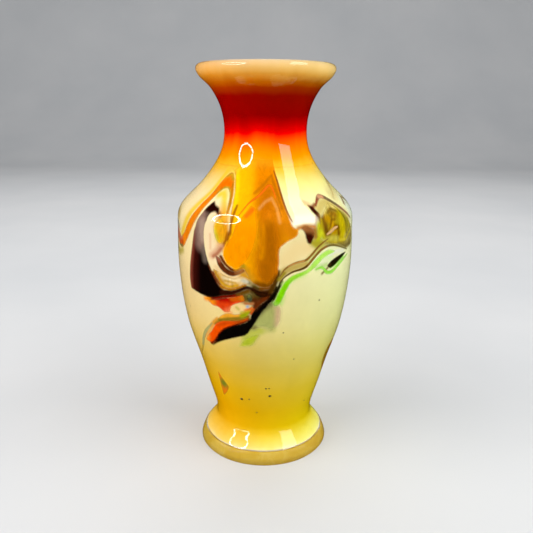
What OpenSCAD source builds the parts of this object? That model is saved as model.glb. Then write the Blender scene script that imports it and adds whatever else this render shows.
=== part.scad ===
// Hand blown cased glass vase: an opal bubble, a straw-tinted gather with
// stretched bits of coloured glass laid in it, a clear casing and an amber foot.
// The origin is the middle of the foot's flat underside, +Z up, millimetres.

/* [Outline] */
// Overall height
vase_h = 150; // [135:1:170]
// Radius of the belly at its widest
belly_r = 33.7; // [32:0.1:36]
// Radius of the foot at its widest
foot_r = 25.9; // [25:0.1:27]
// Radius of the waist above the foot
waist_r = 19.4; // [18.5:0.1:20.5]
// Radius of the neck at its narrowest
neck_r = 15.4; // [14.5:0.1:16.5]
// Radius of the lip at its widest
lip_r = 25.6; // [24.5:0.1:27]

/* [Glass layers] */
// Thickness of the clear casing
casing_t = 1.7; // [1.4:0.1:2]
// Thickness of the straw-tinted gather
straw_t = 1.3; // [1.2:0.1:1.5]
// Thickness of the opal bubble
opal_t = 1.5; // [1.2:0.1:1.8]
// Thickness of a bit of coloured glass
bit_t = 0.5; // [0.35:0.05:0.55]
// Thickness of the ruby collar round the neck
collar_t = 0.7; // [0.5:0.05:0.8]

/* [Foot] */
// Height of the opal skirt's edge inside the foot
skirt_z = 4.4; // [4:0.1:5]
// Radius of the polished pontil hollow
pontil_r = 9; // [6:0.5:12]
// Depth of the polished pontil hollow
pontil_d = 1.4; // [0.8:0.1:2]
// Height of the bore's floor
floor_z = 14; // [13:0.5:16]

/* [Specks] */
// Radius of the largest speck
speck_r = 0.45; // [0.3:0.05:0.45]

/* [Hidden] */

// Heights are given for a vase 150 tall and follow its real height
k = vase_h / 150;
// Curve points between two stations of the profile
wall_steps = 2;
// Facets of a revolved wall in a preview
round_fn = 120;
// Margin by which a cutting band passes its bit
spare = 0.3;

// ---- Curves -------------------------------------------------------------

function mix(a, b, t) = a + (b - a) * t;

// One component of a Catmull-Rom segment from b to c
function ease(a, b, c, d, t) =
    0.5 * (2 * b + (c - a) * t + (2 * a - 5 * b + 4 * c - d) * t * t
           + (3 * b - a - 3 * c + d) * t * t * t);

// An open smooth curve through all points of p
function smooth(p, steps) = [
    for (i = [0 : len(p) - 2], s = [0 : steps - 1])
        let (a = p[max(i - 1, 0)], d = p[min(i + 2, len(p) - 1)], t = s / steps)
        [ease(a[0], p[i][0], p[i + 1][0], d[0], t),
         ease(a[1], p[i][1], p[i + 1][1], d[1], t)],
    p[len(p) - 1]
];

function reversed(p) = [for (i = [len(p) - 1 : -1 : 0]) p[i]];

// Unit normal of an open curve at point i, on its right-hand side
function normal(p, i) =
    let (a = p[max(i - 1, 0)], b = p[min(i + 1, len(p) - 1)],
         d = b - a, n = norm(d))
    [d[1] / n, -d[0] / n];

// The curve moved inwards by t
function inset(p, t) = [for (i = [0 : len(p) - 1]) p[i] - t * normal(p, i)];

function between(p, low, high) = [for (q = p) if (q[1] >= low && q[1] <= high) q];

// A wall curve as a table of radius against height
function by_height(p) = [for (q = p) [q[1], q[0]]];

// The stretch of a wall between two heights, cut square at both
function clipped(p, low, high) =
    let (table = by_height(p))
    concat([[lookup(low, table), low]], between(p, low + 0.05, high - 0.05),
           [[lookup(high, table), high]]);

// ---- Profile: [radius, height] from the foot to the lip ------------------

foot_stations = [
    [foot_r - 0.9, 0],
    [foot_r, 1.2 * k],
    [foot_r - 0.35, 3 * k],
    [foot_r - 1.55, 5.8 * k],
    [mix(foot_r, waist_r, 0.57), 8.6 * k],
    [waist_r + 0.4, 11.2 * k],
    [waist_r, 13.5 * k]
];

body_stations = [
    [mix(waist_r, belly_r, 0.04), 18 * k],
    [mix(waist_r, belly_r, 0.21), 26 * k],
    [mix(waist_r, belly_r, 0.46), 38.5 * k],
    [mix(waist_r, belly_r, 0.755), 52 * k],
    [mix(waist_r, belly_r, 0.93), 66 * k],
    [belly_r, 79 * k],
    [belly_r - 0.1, 90 * k],
    [belly_r - 0.5, 96.5 * k],
    [mix(neck_r, belly_r, 0.825), 101 * k],
    [mix(neck_r, belly_r, 0.546), 106 * k],
    [mix(neck_r, belly_r, 0.317), 111 * k],
    [mix(neck_r, belly_r, 0.142), 116 * k],
    [mix(neck_r, belly_r, 0.033), 121 * k],
    [neck_r, 126.5 * k],
    [mix(neck_r, lip_r, 0.06), 132 * k],
    [mix(neck_r, lip_r, 0.225), 137 * k]
];

lip_stations = [
    [mix(neck_r, lip_r, 0.51), 141.8 * k],
    [lip_r - 1.6, 145 * k],
    [lip_r, 147.6 * k],
    [lip_r - 0.4, vase_h - 0.7],
    [lip_r - 1.9, vase_h]
];

outer_stations = concat(foot_stations, body_stations, lip_stations);
// The stretch of stations that every inner wall follows at its own depth
first = 2;
last = len(outer_stations) - 5;

function wall_part(t) =
    let (moved = inset(outer_stations, t))
    [for (i = [first : last]) moved[i]];

// Outside of the vase
outer_wall = smooth(outer_stations, wall_steps);

// Inside of the casing
casing_wall = smooth(concat(
    [[foot_r - 2.3, 0], [foot_r - 1.6, 1.5 * k]],
    wall_part(casing_t),
    [[lip_r - 4.4, 144.8 * k], [lip_r - 2.7, 146.2 * k], [lip_r - 2, 148 * k],
     [lip_r - 2.2, vase_h]]
), wall_steps);

// Radius of the opal skirt's edge
skirt_r = foot_r - 3.2;

// Outside of the opal bubble, from the skirt's edge to the crown
opal_wall = smooth(concat(
    [[skirt_r, skirt_z * k], [foot_r - 4.6, 5.9 * k], [waist_r - 0.2, 7.9 * k]],
    [for (p = wall_part(casing_t + straw_t)) if (p[1] > 9.5 * k) p],
    [[lip_r - 5.4, 145.7 * k], [lip_r - 3.7, 147.4 * k], [lip_r - 2.9, 148.8 * k],
     [lip_r - 2.6, vase_h]]
), wall_steps);

// The hollow of the vase, from the middle of its floor to the crown
bore_wall = smooth(concat(
    [[0, floor_z * k], [7, (floor_z + 0.2) * k], [11.5, (floor_z + 1.6) * k]],
    [for (p = wall_part(casing_t + straw_t + opal_t)) if (p[1] > 19 * k) p],
    [[lip_r - 6.5, 146.8 * k], [lip_r - 4.9, 148.6 * k], [lip_r - 3.6, vase_h]]
), wall_steps);

// Radius of the casing's inside and of the opal's outside at a height
casing_table = by_height(between(casing_wall, 13 * k, 142 * k));
opal_table = by_height(between(opal_wall, 13 * k, 142 * k));

// ---- Building blocks -----------------------------------------------------

// A solid of revolution between two wall curves that run the same way
module revolved(outer, inner) {
    rotate_extrude($fn = round_fn) polygon(concat(outer, reversed(inner)));
}

// A point of an outline, [azimuth, height], seen square on from azimuth middle
function seen(p, middle, table) =
    let (z = p[1] * k) [lookup(z, table) * sin(p[0] - middle), z];

// The space that an outline covers, from the axis outwards
module radial_prism(points, table) {
    sides = [for (p = points) p[0]];
    middle = (min(sides) + max(sides)) / 2;
    rotate([0, 0, middle]) rotate([90, 0, 0]) linear_extrude(height = belly_r + 5)
        polygon([for (p = points) seen(p, middle, table)]);
}

// A band of glass that follows a wall between two depths over an outline
module laid(points, wall, table, top, bottom) {
    heights = [for (p = points) p[1] * k];
    run = between(wall, min(heights) - 6, max(heights) + 6);
    intersection() {
        revolved(inset(run, top), inset(run, bottom));
        radial_prism(points, table);
    }
}

// A bit laid on the straw gather, under the casing; grow > 0 makes its pocket
module over_bit(points, grow = 0) {
    laid(points, casing_wall, casing_table, -grow, bit_t);
}

// A bit laid on the opal bubble, under the straw gather
module under_bit(points, grow = 0) {
    laid(points, opal_wall, opal_table, -bit_t, grow);
}

// Outline of a thread that runs along a path and thins to its ends
function thread(path, width, blunt = 0.3) =
    let (p = smooth(path, 2), n = len(p) - 1,
         w = [for (i = [0 : n]) width / 2 * mix(blunt, 1, sin(180 * i / n))],
         deg = [for (q = p) 180 / (PI * lookup(q[1] * k, casing_table))],
         flat = [for (i = [0 : n]) [p[i][0] / deg[i], p[i][1]]],
         side = [for (i = [0 : n]) let (m = normal(flat, i) * w[i]) [m[0] * deg[i], m[1]]])
    concat([for (i = [0 : n]) p[i] + side[i]], [for (i = [n : -1 : 0]) p[i] - side[i]]);

// ---- Outlines of the bits: [azimuth, height] -----------------------------

tongue_edge = [
    [-40, 113], [-33, 111], [-27, 106], [-23, 100], [-22, 95], [-24, 90], [-26.5, 86],
    [-23.5, 82.3], [-18, 80.6], [-13, 82], [-10, 79], [-7, 76.3], [-2, 74.8], [3, 75],
    [7, 78], [8.6, 83], [9.3, 88.5], [14, 90.8], [20, 92.6], [21, 94.6], [17.5, 95.4],
    [15.5, 98.5], [14, 103], [12, 109], [10, 115], [8, 121], [-10, 123], [-30, 119]
];
lobe_edge = [
    [-25.8, 86], [-23, 82.6], [-18, 81], [-13, 82.8], [-9, 86], [-6, 91], [-5, 96],
    [-6.5, 101], [-10, 101.8], [-15, 98], [-18, 96], [-20, 92.5], [-23.5, 89.6]
];
fold_edge = [
    [-3, 77.4], [0, 75.6], [4, 76], [7, 79.5], [8, 85], [8.2, 92], [7, 97], [5, 100.6],
    [2, 101.4], [-1.5, 99.5], [-3.6, 95], [-3.6, 90], [-6, 84.5]
];
chevron_path = [[-18, 98], [-12, 102.4], [-5, 104.8], [1, 107.4], [5, 108], [8, 104.5], [10.5, 98.5]];
vein_path = [[9, 113], [11.5, 109.5], [13, 105], [14.6, 100], [17, 97]];
ribbon_edge = [
    [-84, 91.2], [-77, 91], [-72, 89.3], [-68.5, 88], [-63, 90.3], [-57, 94.6], [-52, 98.8],
    [-48.5, 103.3], [-46, 108], [-42, 110.8], [-37, 111.6], [-32, 109.8], [-27.5, 105.8],
    [-24.5, 101], [-23.3, 95.5], [-24.6, 98], [-26.8, 101.3], [-30, 104.8], [-34, 106.5],
    [-38, 106.3], [-41.5, 104.8], [-44.5, 101.3], [-48, 96.8], [-53, 92.6], [-59, 88],
    [-64, 85], [-68.5, 84.2], [-74, 85.5], [-80, 87], [-84, 87.6]
];
slate_path = [[-88, 93.4], [-82, 93.2], [-76, 92.3], [-71, 90.4]];
bulb_edge = [
    [-33, 95.5], [-32.5, 92], [-30, 89.4], [-27.6, 89], [-25.6, 91], [-25.2, 94.5],
    [-27, 97.2], [-30, 97.6]
];
crescent_edge = [
    [-40, 102.2], [-36.5, 101], [-32.5, 100.3], [-31, 98.2], [-34.5, 99.2], [-38, 98.6],
    [-40.3, 95], [-41, 90], [-39, 84.5], [-36, 80.5], [-32, 76.5], [-28, 73.2], [-22, 72.8],
    [-16, 73.8], [-12.4, 74.8], [-10.4, 75], [-8, 74.4], [-5, 73.4], [-1, 72.8], [2, 72.2],
    [2, 71.4], [-2, 71.2], [-5, 71.8], [-7, 73.2], [-10, 73.9], [-13, 73.3], [-16, 72.4],
    [-21, 71.2], [-27, 70.6],
    [-33, 69.4], [-40, 68.9], [-48, 69.6], [-56, 70.2], [-56.4, 74], [-54.5, 80],
    [-52.5, 86], [-50, 92], [-46.5, 96.6], [-43, 100.3]
];
blot_edge = [
    [-31.5, 84.8], [-28.5, 84], [-26.8, 82.6], [-23.4, 80.6], [-18, 79.8], [-13, 81],
    [-12, 80.4], [-15, 79.3], [-20, 78.2], [-25, 79], [-29.6, 81.4]
];
swirl_edge = [
    [-34, 79.8], [-30, 79.4], [-25, 78], [-19, 77.4], [-13, 78.2], [-9.6, 77], [-8.4, 75.6],
    [-12, 75.6], [-17, 74.4], [-22, 73.6], [-27, 74.2], [-31, 76.8]
];
flame_edge = [
    [-40, 68], [-36, 66.2], [-31, 65.8], [-27, 64.4], [-23, 64.6], [-21.5, 67], [-17, 68.4],
    [-12.6, 69.4], [-13.4, 71.6], [-20, 70.4], [-27, 69.7], [-33, 68.6]
];
band_edge = [
    [-34, 60], [-30, 62.4], [-25, 63.8], [-19, 63.8], [-13, 65], [-9, 67], [-7.8, 67.6],
    [-7.4, 66.8], [-9.2, 65.2], [-11, 63.9], [-15, 62.5], [-22, 61.7], [-30, 60.8]
];
wedge_edge = [
    [-48.5, 50.3], [-45, 52.6], [-40, 55.2], [-35, 58.6], [-30, 60.2], [-22, 61],
    [-15, 61.8], [-10, 63.2], [-10.7, 62.5], [-16, 60.9], [-22, 59.5], [-28, 57.9],
    [-33, 55.6], [-38, 52.3], [-43, 50.2]
];
slash_edge = [
    [-43, 48.6], [-38, 51.4], [-33, 54.8], [-28, 57.2], [-22, 58.9], [-16, 60.4],
    [-10, 62], [-8.2, 64], [-6, 66], [-3, 67.9], [1, 69.8], [4, 71.7], [6, 74], [7, 75.4],
    [7.8, 74.6], [5.6, 71], [3, 68.8], [-1.6, 65.6], [-6, 61.4], [-9, 58.8], [-13, 56],
    [-19, 54.8], [-26, 53.3], [-32, 52], [-38, 50.2]
];
bead_edge = [[-11.4, 70.6], [-10.6, 72.2], [-8.8, 72.4], [-7.4, 71], [-7.8, 69.4], [-9.8, 68.8]];
olive_path = [[-67, 41.8], [-61, 44.2], [-56, 47.1], [-52, 50.3], [-47, 53.9], [-42, 56.6], [-38, 58.8]];
streak_edge = [
    [5.6, 68.4], [7.5, 71.2], [9.7, 74], [12.6, 76.4], [16, 78.2], [21, 79.2], [27, 80.4],
    [32, 83], [38, 85.2], [44, 86], [50, 85], [45, 84.4], [39, 83.6], [34, 81.4],
    [28, 79.2], [21, 77.8], [17, 76.6], [14, 74], [11.5, 70.8], [9.5, 68.6], [7, 67.6]
];
loop_path = [[33, 79.8], [38, 80.2], [42, 78.2], [47, 77.8], [53, 79.4], [60, 81], [67, 82.2]];
chip_edge = [
    [42.6, 80.3], [45, 81.4], [49, 82.3], [54, 82.8], [60, 83.3], [64, 83.2], [60, 82.4],
    [54, 81.2], [49, 79.9], [45, 79.5]
];
patch_edge = [
    [-19, 50.6], [-17, 53], [-13, 55], [-9, 56.2], [-4, 57], [-2.5, 56], [-5, 53.6],
    [-8, 51.6], [-13, 50.8]
];
haze_edge = [
    [-12, 58.4], [-9, 61.5], [-6, 64.5], [-2, 67.5], [2, 69.5], [5.4, 70.4], [8.4, 69.4],
    [11, 67], [11.5, 63.5],
    [10.5, 60.6], [8, 58.8], [4.5, 57.6], [1, 58.6], [-3, 58.8], [-7, 57.8]
];
upper_thread_path = [
    [9.2, 78.4], [11.4, 80.6], [15, 82.2], [20, 83.2], [26, 83.8], [30, 85.6], [35, 88],
    [39.5, 89.4], [43, 90.2]
];
lower_thread_path = [
    [8.6, 75.8], [12, 78.2], [17, 79.9], [22, 80.6], [26, 81.4], [31, 84], [37, 86.6],
    [44, 87.6], [51, 87], [58, 85.6], [66, 84]
];
blush_path = [[41.5, 91.8], [45, 92.5], [48.5, 93.4], [52, 93.7]];
low_chip_edge = [
    [22, 95], [24.4, 93.7], [25.6, 91.6], [27.4, 89.4], [29.2, 89.2], [30.6, 90.8],
    [31.6, 92.6], [31, 94.4], [28, 95], [25, 95.6]
];
high_chip_edge = [
    [31, 101.6], [32.6, 99.6], [34, 98.6], [36.5, 97.6], [37.6, 98.6], [36, 100], [33.6, 101.2]
];
mauve_path = [
    [37.6, 101], [42.5, 102.7], [47.5, 103.6], [53, 102.6], [59, 100.4], [65, 97.9], [73, 94.9]
];
patch_olive_edge = [
    [36, 97.2], [40, 98.8], [46, 100.6], [51, 101.4], [57, 99.8], [64, 97], [71, 94],
    [76, 91.2], [79, 88], [76, 85.2], [70, 84.4], [63, 84.6], [57, 86], [51, 87.4],
    [44, 88.2], [38, 89.8], [34, 93]
];
shoulder_path = [[62, 102], [70, 103.6], [78, 106], [88, 107.4], [98, 106], [106, 102], [112, 97]];
left_flake_edge = [[-46, 36.5], [-43, 34], [-36.5, 30.5], [-40, 28], [-47, 25.2], [-46.5, 30]];
right_flake_edge = [
    [63, 40], [64, 45], [70, 47.3], [78, 46], [82, 40], [82, 34], [76, 32.5], [69, 35]
];
back_tongue_edge = [
    [120, 118], [123, 108], [126, 100], [130, 92], [136, 84], [141, 80], [147, 79], [151, 84],
    [153, 92], [160, 97], [166, 99], [160, 102], [154, 107], [150, 116], [136, 120]
];
back_ribbon_edge = [
    [188, 88], [196, 91], [205, 95], [214, 98], [223, 98.4], [232, 96], [240, 92.4],
    [248, 90.4], [256, 90.4], [264, 91.2], [270, 91.4], [270, 88.4], [262, 87.8],
    [254, 86.8], [246, 87], [238, 89.2], [230, 92.4], [222, 94.8], [214, 94.6], [205, 92],
    [196, 89]
];
back_crescent_edge = [
    [164, 92], [170, 90], [177, 84], [182, 77], [190, 72], [200, 70], [212, 70.4],
    [222, 73], [212, 68.4], [200, 66.4], [188, 67.4], [178, 71.4], [171, 78], [166, 85]
];
back_flame_edge = [
    [186, 66.4], [196, 65.2], [206, 65.2], [216, 67], [224, 70], [216, 63.6], [206, 61.8],
    [196, 62.2], [188, 63.8]
];
back_slash_edge = [
    [112, 78], [120, 74], [128, 68], [137, 63.4], [147, 61], [158, 60.4], [148, 58.6],
    [137, 59.6], [127, 63.6], [119, 70]
];
back_streak_edge = [
    [122, 77], [129, 71.6], [137, 67.4], [146, 65], [156, 65.4], [163, 69], [157, 68],
    [147, 68.2], [138, 71], [130, 75.4]
];
back_haze_edge = [
    [128, 60], [136, 57], [146, 56.2], [156, 57.6], [160, 53], [152, 50], [140, 49.6],
    [131, 53.4]
];

// Specks: [azimuth, height, radius as a share of the largest]
specks = [
    [-23.6, 26, 1], [-15, 26.4, 0.6], [2, 32, 0.7], [5, 32, 0.6], [6, 28.4, 1],
    [13, 57, 0.6], [38, 68, 0.6], [-62, 62, 0.5], [24, 45, 0.5], [-8, 20, 0.6],
    [52, 22, 0.6], [-100, 34, 0.8], [-128, 52, 0.6], [118, 40, 0.9], [150, 30, 0.6],
    [178, 44, 0.8], [205, 26, 0.7], [232, 56, 0.6]
];

// ---- Gathers and wraps ---------------------------------------------------

// Domed underside of the opal bubble, from the axis out to its skirt
underside = [[0, (skirt_z + 3) * k], [12, (skirt_z + 1.6) * k], [19, (skirt_z + 0.2) * k]];

// White opal bubble: a closed floor, a flared skirt in the foot, a bare crown
module opal_core() color("ivory") {
    rotate_extrude($fn = round_fn) polygon(concat(underside, opal_wall, reversed(bore_wall)));
}

// Lowest point of the straw gather, and the seam where the lip wrap begins
straw_low = (skirt_z + 0.8) * k;
wrap_low = 144 * k;

// The ring between two walls and two heights
module ring(outer, inner, low, high) {
    revolved(clipped(outer, low, high), clipped(inner, low, high));
}

// Straw-tinted gather with a pocket for every bit and collar
module straw_gather() color("khaki", 0.8) {
    difference() {
        ring(casing_wall, opal_wall, straw_low, wrap_low);
        collar_space(spare);
        over_bits(spare);
        under_bits(spare);
        specks_laid();
    }
}

// Amber thread of glass wound on at the rim and melted to a bead
module lip_wrap() color("sandybrown") ring(casing_wall, opal_wall, wrap_low, vase_h);

// Clear outer gather, worn flat where it stands
module clear_casing() color("white", 0.3) {
    revolved(outer_wall, casing_wall);
}

// Clear amber pad under the opal skirt, with a polished hollow below
module foot_pad() color("goldenrod", 0.7) {
    dish_r = (pontil_r * pontil_r + pontil_d * pontil_d) / (2 * pontil_d);
    difference() {
        rotate_extrude($fn = round_fn) polygon(concat(
            [[0, 0]],
            clipped(casing_wall, 0, skirt_z * k),
            [[skirt_r, skirt_z * k]],
            reversed(underside)
        ));
        translate([0, 0, pontil_d - dish_r]) sphere(r = dish_r, $fn = round_fn);
    }
}

// Heights of the collars' ends; the seam between them is square
ruby_high = 143.5 * k;
ruby_low = 125 * k;
amber_low = 114 * k;

module collar_band(low, high, grow) {
    run = between(casing_wall, low - 8, high + 8);
    ring(inset(run, -grow), inset(run, collar_t), low, high);
}

module collar_space(grow) collar_band(amber_low, ruby_high, grow);
module ruby_collar() color("darkred") collar_band(ruby_low, ruby_high, 0);
module amber_collar() color("darkorange") collar_band(amber_low, ruby_low, 0);

// ---- Bits of coloured glass ----------------------------------------------

module amber_tongue(grow = 0) color("orange") under_bit(tongue_edge, grow);
module orange_lobe(grow = 0) color("darkorange") over_bit(lobe_edge, grow);
module ochre_fold(grow = 0) color("darkgoldenrod") over_bit(fold_edge, grow);
module chevron_thread(grow = 0) color("orangered") over_bit(thread(chevron_path, 0.9), grow);
module brown_vein(grow = 0) color("sienna") over_bit(thread(vein_path, 0.7), grow);
module orange_ribbon(grow = 0) color("chocolate") over_bit(ribbon_edge, grow);
module slate_thread(grow = 0) color("slategray") over_bit(thread(slate_path, 1.2), grow);
module amber_bulb(grow = 0) color("goldenrod") over_bit(bulb_edge, grow);
module aubergine_crescent(grow = 0) color([0.12, 0.03, 0.04]) over_bit(crescent_edge, grow);
module umber_blot(grow = 0) color("saddlebrown") over_bit(blot_edge, grow);
module cream_swirl(grow = 0) color("burlywood") under_bit(swirl_edge, grow);
module red_flame(grow = 0) color("red") over_bit(flame_edge, grow);
module marigold_band(grow = 0) color("orange") over_bit(band_edge, grow);
module vermilion_wedge(grow = 0) color("orangered") over_bit(wedge_edge, grow);
module black_slash(grow = 0) color("black") over_bit(slash_edge, grow);
module moss_bead(grow = 0) color("darkslategray") over_bit(bead_edge, grow);
module olive_thread(grow = 0) color("darkkhaki") over_bit(thread(olive_path, 1.3), grow);
module lime_streak(grow = 0) color("lawngreen") over_bit(streak_edge, grow);
module lime_loop(grow = 0) color("lightgreen") over_bit(thread(loop_path, 1.4), grow);
module black_chip(grow = 0) color("black") over_bit(chip_edge, grow);
module lime_patch(grow = 0) color("yellowgreen") under_bit(patch_edge, grow);
module sage_haze(grow = 0) color("darkseagreen") under_bit(haze_edge, grow);
module mauve_thread(grow = 0) color("rosybrown") over_bit(thread(mauve_path, 1.3), grow);
module olive_patch(grow = 0) color("olive") under_bit(patch_olive_edge, grow);
module blush_thread(grow = 0) color("pink") over_bit(thread(blush_path, 1), grow);
module shoulder_ribbon(grow = 0) color("tan") over_bit(thread(shoulder_path, 3), grow);
module back_tongue(grow = 0) color("orange") under_bit(back_tongue_edge, grow);
module back_ribbon(grow = 0) color("chocolate") over_bit(back_ribbon_edge, grow);
module back_crescent(grow = 0) color([0.12, 0.03, 0.04]) over_bit(back_crescent_edge, grow);
module back_flame(grow = 0) color("orangered") over_bit(back_flame_edge, grow);
module back_slash(grow = 0) color("black") over_bit(back_slash_edge, grow);
module back_lime_streak(grow = 0) color("lawngreen") over_bit(back_streak_edge, grow);
module back_sage_haze(grow = 0) color("darkseagreen") under_bit(back_haze_edge, grow);

// Two fine lines drawn out either side of the olive band
module umber_threads(grow = 0) color("saddlebrown") {
    over_bit(thread(upper_thread_path, 0.8), grow);
    over_bit(thread(lower_thread_path, 0.9), grow);
}

module aubergine_chips(grow = 0) color([0.25, 0.06, 0.08]) {
    over_bit(low_chip_edge, grow);
    over_bit(high_chip_edge, grow);
}

module orange_flakes(grow = 0) color("peru") {
    over_bit(left_flake_edge, grow);
    over_bit(right_flake_edge, grow);
}

// Round grains of dark frit, sunk just under the casing
module specks_laid() {
    for (s = specks) {
        r = speck_r * s[2];
        wall_r = lookup(s[1] * k, casing_table);
        rotate([0, 0, s[0]]) translate([0, r + 0.15 - wall_r, s[1] * k]) sphere(r = r, $fn = 24);
    }
}

module frit_specks() color("black") specks_laid();

module over_bits(grow) {
    orange_lobe(grow);
    ochre_fold(grow);
    chevron_thread(grow);
    brown_vein(grow);
    orange_ribbon(grow);
    slate_thread(grow);
    amber_bulb(grow);
    aubergine_crescent(grow);
    umber_blot(grow);
    red_flame(grow);
    marigold_band(grow);
    vermilion_wedge(grow);
    black_slash(grow);
    moss_bead(grow);
    olive_thread(grow);
    lime_streak(grow);
    lime_loop(grow);
    black_chip(grow);
    umber_threads(grow);
    aubergine_chips(grow);
    mauve_thread(grow);
    blush_thread(grow);
    shoulder_ribbon(grow);
    orange_flakes(grow);
    back_ribbon(grow);
    back_crescent(grow);
    back_flame(grow);
    back_slash(grow);
    back_lime_streak(grow);
}

module under_bits(grow) {
    amber_tongue(grow);
    cream_swirl(grow);
    lime_patch(grow);
    sage_haze(grow);
    olive_patch(grow);
    back_tongue(grow);
    back_sage_haze(grow);
}

opal_core();
straw_gather();
clear_casing();
foot_pad();
lip_wrap();
ruby_collar();
amber_collar();
amber_tongue();
orange_lobe();
ochre_fold();
chevron_thread();
brown_vein();
orange_ribbon();
slate_thread();
amber_bulb();
aubergine_crescent();
umber_blot();
cream_swirl();
red_flame();
marigold_band();
vermilion_wedge();
black_slash();
moss_bead();
olive_thread();
lime_streak();
lime_loop();
black_chip();
lime_patch();
sage_haze();
umber_threads();
aubergine_chips();
mauve_thread();
olive_patch();
blush_thread();
shoulder_ribbon();
orange_flakes();
frit_specks();
back_tongue();
back_ribbon();
back_crescent();
back_flame();
back_slash();
back_lime_streak();
back_sage_haze();
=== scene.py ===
"""Looks of the blown glass vase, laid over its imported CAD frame.

The layers are the real ones: an opal bubble, a straw-tinted gather, bits of
coloured glass melted into it, and a clear casing that bends what lies below.
Places on the vase are written as (azimuth in degrees, height in mm): azimuth 0
faces the camera along -Y and grows towards +X.
"""

import math

import bmesh
import bpy
import numpy as np
from mathutils import Matrix, Vector, geometry, noise


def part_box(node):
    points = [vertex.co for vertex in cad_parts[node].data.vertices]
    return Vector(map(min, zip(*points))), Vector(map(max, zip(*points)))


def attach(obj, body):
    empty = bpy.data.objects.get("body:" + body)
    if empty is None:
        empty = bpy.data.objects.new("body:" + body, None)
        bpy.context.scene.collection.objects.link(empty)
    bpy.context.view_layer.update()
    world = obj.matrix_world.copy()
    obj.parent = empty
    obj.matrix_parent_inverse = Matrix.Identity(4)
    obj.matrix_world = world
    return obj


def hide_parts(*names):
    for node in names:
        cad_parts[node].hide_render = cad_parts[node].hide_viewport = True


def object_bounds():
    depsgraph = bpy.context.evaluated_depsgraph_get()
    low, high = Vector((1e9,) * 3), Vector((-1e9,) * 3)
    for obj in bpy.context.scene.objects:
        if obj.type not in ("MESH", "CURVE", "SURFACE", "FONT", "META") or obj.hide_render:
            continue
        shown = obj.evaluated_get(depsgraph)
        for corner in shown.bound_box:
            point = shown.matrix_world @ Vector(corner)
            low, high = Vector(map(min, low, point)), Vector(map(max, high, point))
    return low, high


MM = 0.001
BODY = "root"
INNER_GLOSS = 0.0  # glass against glass hardly reflects
GLASS_IOR = 1.5

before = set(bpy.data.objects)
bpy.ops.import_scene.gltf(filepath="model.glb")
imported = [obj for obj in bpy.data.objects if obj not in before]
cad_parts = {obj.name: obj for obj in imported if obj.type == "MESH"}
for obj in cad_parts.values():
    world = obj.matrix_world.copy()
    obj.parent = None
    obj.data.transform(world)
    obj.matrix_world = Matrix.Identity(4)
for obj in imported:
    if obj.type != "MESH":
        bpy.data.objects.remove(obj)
cad_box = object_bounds()
HEIGHT = round(cad_box[1][2] / MM, 3)


# ---- Profiles, read from the seams of the revolved CAD nodes ----------------


def rounded_places(mesh):
    """Its vertices in mm, rounded so that those that coincide compare equal."""
    return [tuple(round(c / MM, 3) for c in v.co) for v in mesh.vertices]


def seam_path(node):
    """The profile of a revolved CAD node as (radius, height) points in mm, in order."""
    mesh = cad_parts[node].data
    place = rounded_places(mesh)
    links = {}
    for edge in mesh.edges:
        a, b = (place[i] for i in edge.vertices)
        if a != b and all(abs(p[1]) < 0.002 and p[0] > -0.002 for p in (a, b)):
            links.setdefault(a, set()).add(b)
            links.setdefault(b, set()).add(a)
    ends = [p for p, near in links.items() if len(near) == 1]
    here = min(ends, key=lambda p: p[2]) if ends else min(links, key=lambda p: (p[2], -p[0]))
    path, seen = [here], {here}
    while True:
        onward = [p for p in links[here] if p not in seen]
        if not onward:
            break
        here = max(onward, key=lambda p: (p[0], p[2])) if len(path) == 1 else onward[0]
        path.append(here)
        seen.add(here)
    return np.array([(p[0], p[2]) for p in path])


def turn_at(points, i, closed=False):
    """How many degrees a polyline turns at one of its points; an open end counts as sharp."""
    count = len(points)
    if not closed and i in (0, count - 1):
        return 180.0
    a = points[i] - points[i - 1]
    b = points[(i + 1) % count] - points[i]
    return math.degrees(abs(math.atan2(a[0] * b[1] - a[1] * b[0], a @ b)))


def corners(path, least=0.4):
    """The points at which a polyline turns by more than a few tenths of a degree."""
    return path[[i for i in range(len(path)) if turn_at(path, i) > least]]


def curve_through(points, step, closed=False, sharp=55):
    """A smooth curve through points, evenly spaced, that keeps its sharp corners."""
    points = np.asarray(points, float)
    count = len(points)
    dense = []
    for i in range(count if closed else count - 1):
        b, c = points[i], points[(i + 1) % count]
        a, d = points[i - 1], points[(i + 2) % count]
        if turn_at(points, i, closed) > sharp:
            a = 2 * b - c
        if turn_at(points, (i + 1) % count, closed) > sharp:
            d = 2 * c - b
        reach = np.linalg.norm(c - b)
        before = max(np.linalg.norm(b - a), 1e-6)
        after = max(np.linalg.norm(d - c), 1e-6)
        start = (c - b + (b - a) * reach / before) / 2
        end = (c - b + (d - c) * reach / after) / 2
        for t in np.linspace(0, 1, max(2, int(reach / 0.1)), endpoint=False):
            dense.append(
                (2 * t**3 - 3 * t**2 + 1) * b
                + (t**3 - 2 * t**2 + t) * start
                + (3 * t**2 - 2 * t**3) * c
                + (t**3 - t**2) * end
            )
    if not closed:
        dense.append(points[-1])
    return evenly(np.array(dense), step, closed)


def evenly(path, step, closed=False):
    """The same line with its points a step apart."""
    if closed:
        path = np.vstack([path, path[:1]])
    along = np.r_[0, np.cumsum(np.linalg.norm(np.diff(path, axis=0), axis=1))]
    count = max(3, int(round(along[-1] / step)))
    at = np.linspace(0, along[-1], count + 1)
    found = np.column_stack([np.interp(at, along, path[:, k]) for k in (0, 1)])
    return found[:-1] if closed else found


def split_ring(path):
    """The outer and the inner wall of a closed ring profile, both from foot to lip."""
    top = max(range(len(path)), key=lambda i: (round(path[i][1], 2), path[i][0]))
    return path[: top + 1], path[top + 1 :][::-1]


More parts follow.
